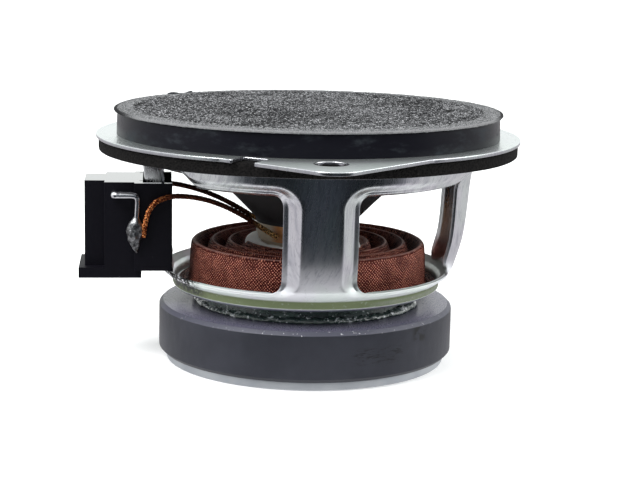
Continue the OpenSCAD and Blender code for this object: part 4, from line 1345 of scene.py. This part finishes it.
def make_housing():
    """The moulded housing with its flanged mouth, two-part socket and two slots in the top."""
    top, lip, wall, overlap = HOUSING_HIGH.z, 1.15 * MM, 1.1 * MM, 0.4 * MM
    plan, wall_x = housing_plan()
    body = prism("connector_body", plan, BODY_Z, top, HOUSING)
    mouth = prism("mouth", box_outline(-END_X - lip, -LEG_FACE - 0.4 * MM, -MIDDLE_Y, MIDDLE_Y),
                  HOUSING_LOW.z, BODY_Z + overlap, HOUSING)
    body = combine(body, [mouth], "UNION")
    socket_low, socket_top = HOUSING_LOW.z - MM, HOUSING_LOW.z + 13.4 * MM
    outer = box_outline(-END_X + wall, -STEP_X + wall + MM, -NARROW_Y + wall, NARROW_Y - wall)
    inner = box_outline(-STEP_X + wall, -wall_x - wall, -MIDDLE_Y + wall, MIDDLE_Y - wall)
    cuts = [prism("cut", outline, socket_low, socket_top, HOUSING) for outline in (outer, inner)]
    slot_x, slot_half, slot_half_w, slot_depth = LEG_FACE, 0.8 * MM, 0.25 * MM, 1.2 * MM
    for y in (-4.9 * MM, 6.1 * MM):
        outline = box_outline(-slot_x - slot_half, -slot_x + slot_half, y - slot_half_w, y + slot_half_w)
        cuts.append(prism("slot", outline, top - slot_depth, top + MM, HOUSING))
    body = break_edges(combine(body, cuts, "DIFFERENCE"), 0.13 * MM, angle=50)
    belongs(settle(body), FIXED, "housing_plastic", "connector_housing")
    make_hooks(HEAD_Z - 6 * MM, top - 0.5 * MM)


def make_hooks(z_low, z_high):
    """The two hooks at the cheeks' ends that grip the leg from behind."""
    tip_x = -INNER_X - 0.9 * MM
    for k, side in enumerate((-1, 1)):
        out_y, in_y = side * (CHANNEL_Y + 0.5 * MM), side * (CHANNEL_Y - 0.9 * MM)
        outline = [(tip_x, in_y), (-INNER_X, in_y), (-INNER_X, out_y), (tip_x, out_y)]
        hook = prism(f"connector_hook_{k + 1}", outline, z_low, z_high, HOUSING)
        break_edges(hook, 0.1 * MM)
        belongs(settle(hook), FIXED, "housing_plastic", "connector_housing")


def make_terminals():
    """Bent round pins: thick where they lie along the side, slimmer where they hang into the solder."""
    foot_z, foot_y, tip_z, bend = HOUSING_LOW.z + 4 * MM, 2.5 * MM, PIN_Z - 8.4 * MM, 0.8 * MM
    lying_r, hanging_thinner = 0.70, 0.21
    for name, side in (("terminal_front", -1), ("terminal_rear", 1)):
        y = side * PIN_Y
        knees = [(-PIN_X, side * foot_y, foot_z), (-PIN_X, side * foot_y, PIN_Z - 1.0 * MM),
                 (-PIN_X, side * (foot_y + bend), PIN_Z), (-PIN_X, y - side * 0.7 * MM, PIN_Z),
                 (-PIN_X + 0.15 * MM, y, PIN_Z), (-PIN_X + 1.0 * MM, y, PIN_Z + 0.02 * MM),
                 (-TAIL_X - 0.9 * MM, y, PIN_Z - 0.02 * MM), (-TAIL_X - 0.1 * MM, y, PIN_Z - 0.35 * MM),
                 (-TAIL_X + 0.15 * MM, y, PIN_Z - 1.2 * MM), (-TAIL_X, y, PIN_Z - 4.5 * MM),
                 (-TAIL_X, y, tip_z)]
        path = smooth_curve(knees, 7)
        radii = []
        for point in path:
            outside = abs(point.y) > MIDDLE_Y
            hanging = clamped((PIN_Z - point.z) / (1.2 * MM)) if outside else 0.3
            radii.append((lying_r - hanging_thinner * hanging) * MM)
        vertices, faces = [], []
        tube_mesh(path, radii, 20, vertices, faces)
        pin = make_piece(name + "_wire", vertices, faces, TIN)
        pin.data.set_sharp_from_angle(angle=math.radians(60))
        belongs(pin, FIXED, "tinned_metal", name)


def make_solder():
    """A leaf-shaped drop of solder on each pin, drawn to a point below."""
    top, bottom, flatness, leaning = 30.4 * MM, 23.0 * MM, 0.72, 0.45 * MM
    leaf = [(0.50, 0.0), (0.72, 0.07), (1.35, 0.2), (1.62, 0.36), (1.6, 0.5), (1.25, 0.66),
            (0.8, 0.8), (0.45, 0.92), (0.14, 1.0)]
    outline = [(p.x * MM, top + (bottom - top) * p.y) for p in smooth_curve(leaf, 4)]
    outline = [(0.0, top)] + outline + [(0.0, bottom - 0.05 * MM)]
    for name, side in (("solder_front", -1), ("solder_rear", 1)):
        centre = Vector((-TAIL_X, side * PIN_Y, 0))

        def warp(point, angle):
            down = (top - point.z) / (top - bottom)
            lump = noise.noise(point * 700 + Vector((side * 3, 1, 7))) * 0.28 * MM
            lump += noise.noise(point * 1900 + Vector((side, 5, 2))) * 0.10 * MM
            flattened = Vector((point.x, point.y * flatness, point.z))
            lean = Vector((-leaning * math.sin(down * 3), 0, 0))
            return flattened + outward(angle) * lump * min(1, 4 * down) + centre + lean

        drop = lathe(name + "_drop", outline, SOLDER, steps=48, closed=False, warp=warp)
        belongs(drop, FIXED, "tinned_metal", name)


# ---- leads ----

# The leads' routes in mm, in the rear lead's half: from the solder over the housing's edge and down
# through the window to the former.
LEAD_FRONT = [
    (-33.2, 9.3, 26.2), (-32.9, 9.3, 28.6), (-32.1, 9.3, 31.4), (-30.6, 9.3, 33.3), (-27.8, 9.2, 34.3),
    (-24.4, 9.1, 34.3), (-20.6, 9, 33.6), (-16.8, 8.9, 32.2), (-13.2, 8.8, 30.3), (-10, 8.8, 28.2),
    (-6.6, 9.1, 26.1)]
LEAD_REAR = [
    (-33.2, 9.3, 26.2), (-32.9, 9.3, 28.6), (-32.1, 9.3, 31.4), (-30.6, 9.3, 33.3), (-27.8, 9.2, 34.1),
    (-24.4, 9.1, 33.6), (-20.6, 9, 32.5), (-16.8, 8.9, 30.9), (-13.2, 8.8, 29), (-10, 8.8, 27.1),
    (-6.6, 9.1, 25.8)]


def make_lead(name, route, side, finish):
    """A flexible braid: two sets of fine strands wound in opposite directions round a dark core."""
    core_r, strand_r, strand_reach, over_under = 0.26 * MM, 0.17 * MM, 0.34, 0.07
    strands, lay = 4, 3.6 * MM
    points = [(x * MM, side * y * MM, z * MM) for x, y, z in route]
    path = smooth_curve(points, 22)
    rows = frames_along(path)
    run = [0.0]
    for a, b in zip(path, path[1:]):
        run.append(run[-1] + (b - a).length)
    vertices, faces = [], []
    tube_mesh(path, [core_r] * len(path), 8, vertices, faces)
    for hand in (1, -1):
        for s in range(strands):
            strand = []
            for (point, across, over), along in zip(rows, run):
                turn = hand * FULL_TURN * along / lay + FULL_TURN * s / strands
                weave = math.sin(strands * FULL_TURN * along / lay + (0 if hand > 0 else math.pi))
                reach = (strand_reach + over_under * weave) * MM
                strand.append(point + reach * (math.cos(turn) * across + math.sin(turn) * over))
            tube_mesh(strand, [strand_r] * len(strand), 6, vertices, faces)
    lead = make_piece(name + "_braid", vertices, faces, finish, merge=1e-9)
    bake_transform(lead)
    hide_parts(name)


# ---- everything ----

def dress_frame():
    """Gives the CAD nodes that stay visible their finishes."""
    for node, finish in (("pole_piece", PLATE), ("basket_rivets", STEEL), ("coil_former", PAPER),
                         ("voice_coil", WIRE), ("coil_tails", WIRE), ("former_collar", TAPE)):
        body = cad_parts[node]
        body.data.materials.clear()
        body.data.materials.append(finish.material)


def light_room():
    """A white room, mauve below and dark ahead of the part, so that bright metal has something to show."""
    world = bpy.data.worlds.new("studio")
    world.use_nodes = True
    bpy.context.scene.world = world
    g = Graph(world.node_tree)
    background = world.node_tree.nodes["Background"]
    x, y, z = g.split(g.add("TexCoord", out="Generated"))
    level = g.math("SQRT", x * x + y * y)
    facing = (x * 0.0932 + y * -0.9956) / level
    front = g.band(facing, 0.34, 0.60) * g.between(z, (-0.99, -0.9), (0.45, 0.15))
    ahead = g.band(facing, 0.955, 0.99) * front
    under = g.band(z, 0.02, -0.12)
    colour = g.mix(under, (0.97, 1.0, 0.99), (0.99, 0.965, 1.0))
    colour = g.mix(front, colour, (0.55, 0.66, 0.80))
    strength = 1.15 * (1 - 0.42 * under) * (1 - 0.965 * front) + 0.05 * ahead
    world.node_tree.links.new(colour.socket, background.inputs["Color"])
    world.node_tree.links.new(strength.socket, background.inputs["Strength"])


def hang_lamps():
    """Two soft boxes, above and to either side."""
    lamps = (("key", (-0.35, -0.25, 0.55), 0.4, 5), ("fill", (0.5, -0.1, 0.4), 0.5, 2.5))
    for name, place, size, power in lamps:
        data = bpy.data.lights.new(name, "AREA")
        data.size, data.energy = size, power
        lamp = bpy.data.objects.new(name, data)
        bpy.context.collection.objects.link(lamp)
        lamp.location = place
        aim(lamp, (0, 0, 0.03))


def lay_floor():
    """The pale floor, and a round card on it that only mirror-like surfaces see."""
    card = lathe("bounce_card", [(0.0, 0), (0.09, 0)], card_glow(), steps=64, closed=False)
    for ray in ("camera", "diffuse", "shadow", "transmission", "volume_scatter"):
        setattr(card, "visible_" + ray, False)
    mesh = bpy.data.meshes.new("floor")
    shape = bmesh.new()
    bmesh.ops.create_grid(shape, x_segments=1, y_segments=1, size=3)
    shape.to_mesh(mesh)
    shape.free()
    pale = Finish("floor_white", roughness=0.9, emission_strength=0.12)
    pale.paint(base_color=pale.mix(pale.noise(40), (0.93, 0.93, 0.93), (0.95, 0.95, 0.95)))
    floor = show("floor", mesh, pale)
    floor.visible_glossy = False


make_basket(STEEL)
make_flange(STEEL)
make_magnet()
make_plates()
make_plate_glue()
make_spider()
make_neck_glue()
make_cone()
make_surround()
make_gasket()
make_ring()
make_felt()
make_housing()
make_terminals()
make_solder()
make_lead("lead_front", LEAD_FRONT, -1, BRAID_FRONT)
make_lead("lead_rear", LEAD_REAR, 1, BRAID_REAR)
dress_frame()
light_room()
hang_lamps()
lay_floor()
bpy.context.scene.view_settings.view_transform = "Standard"
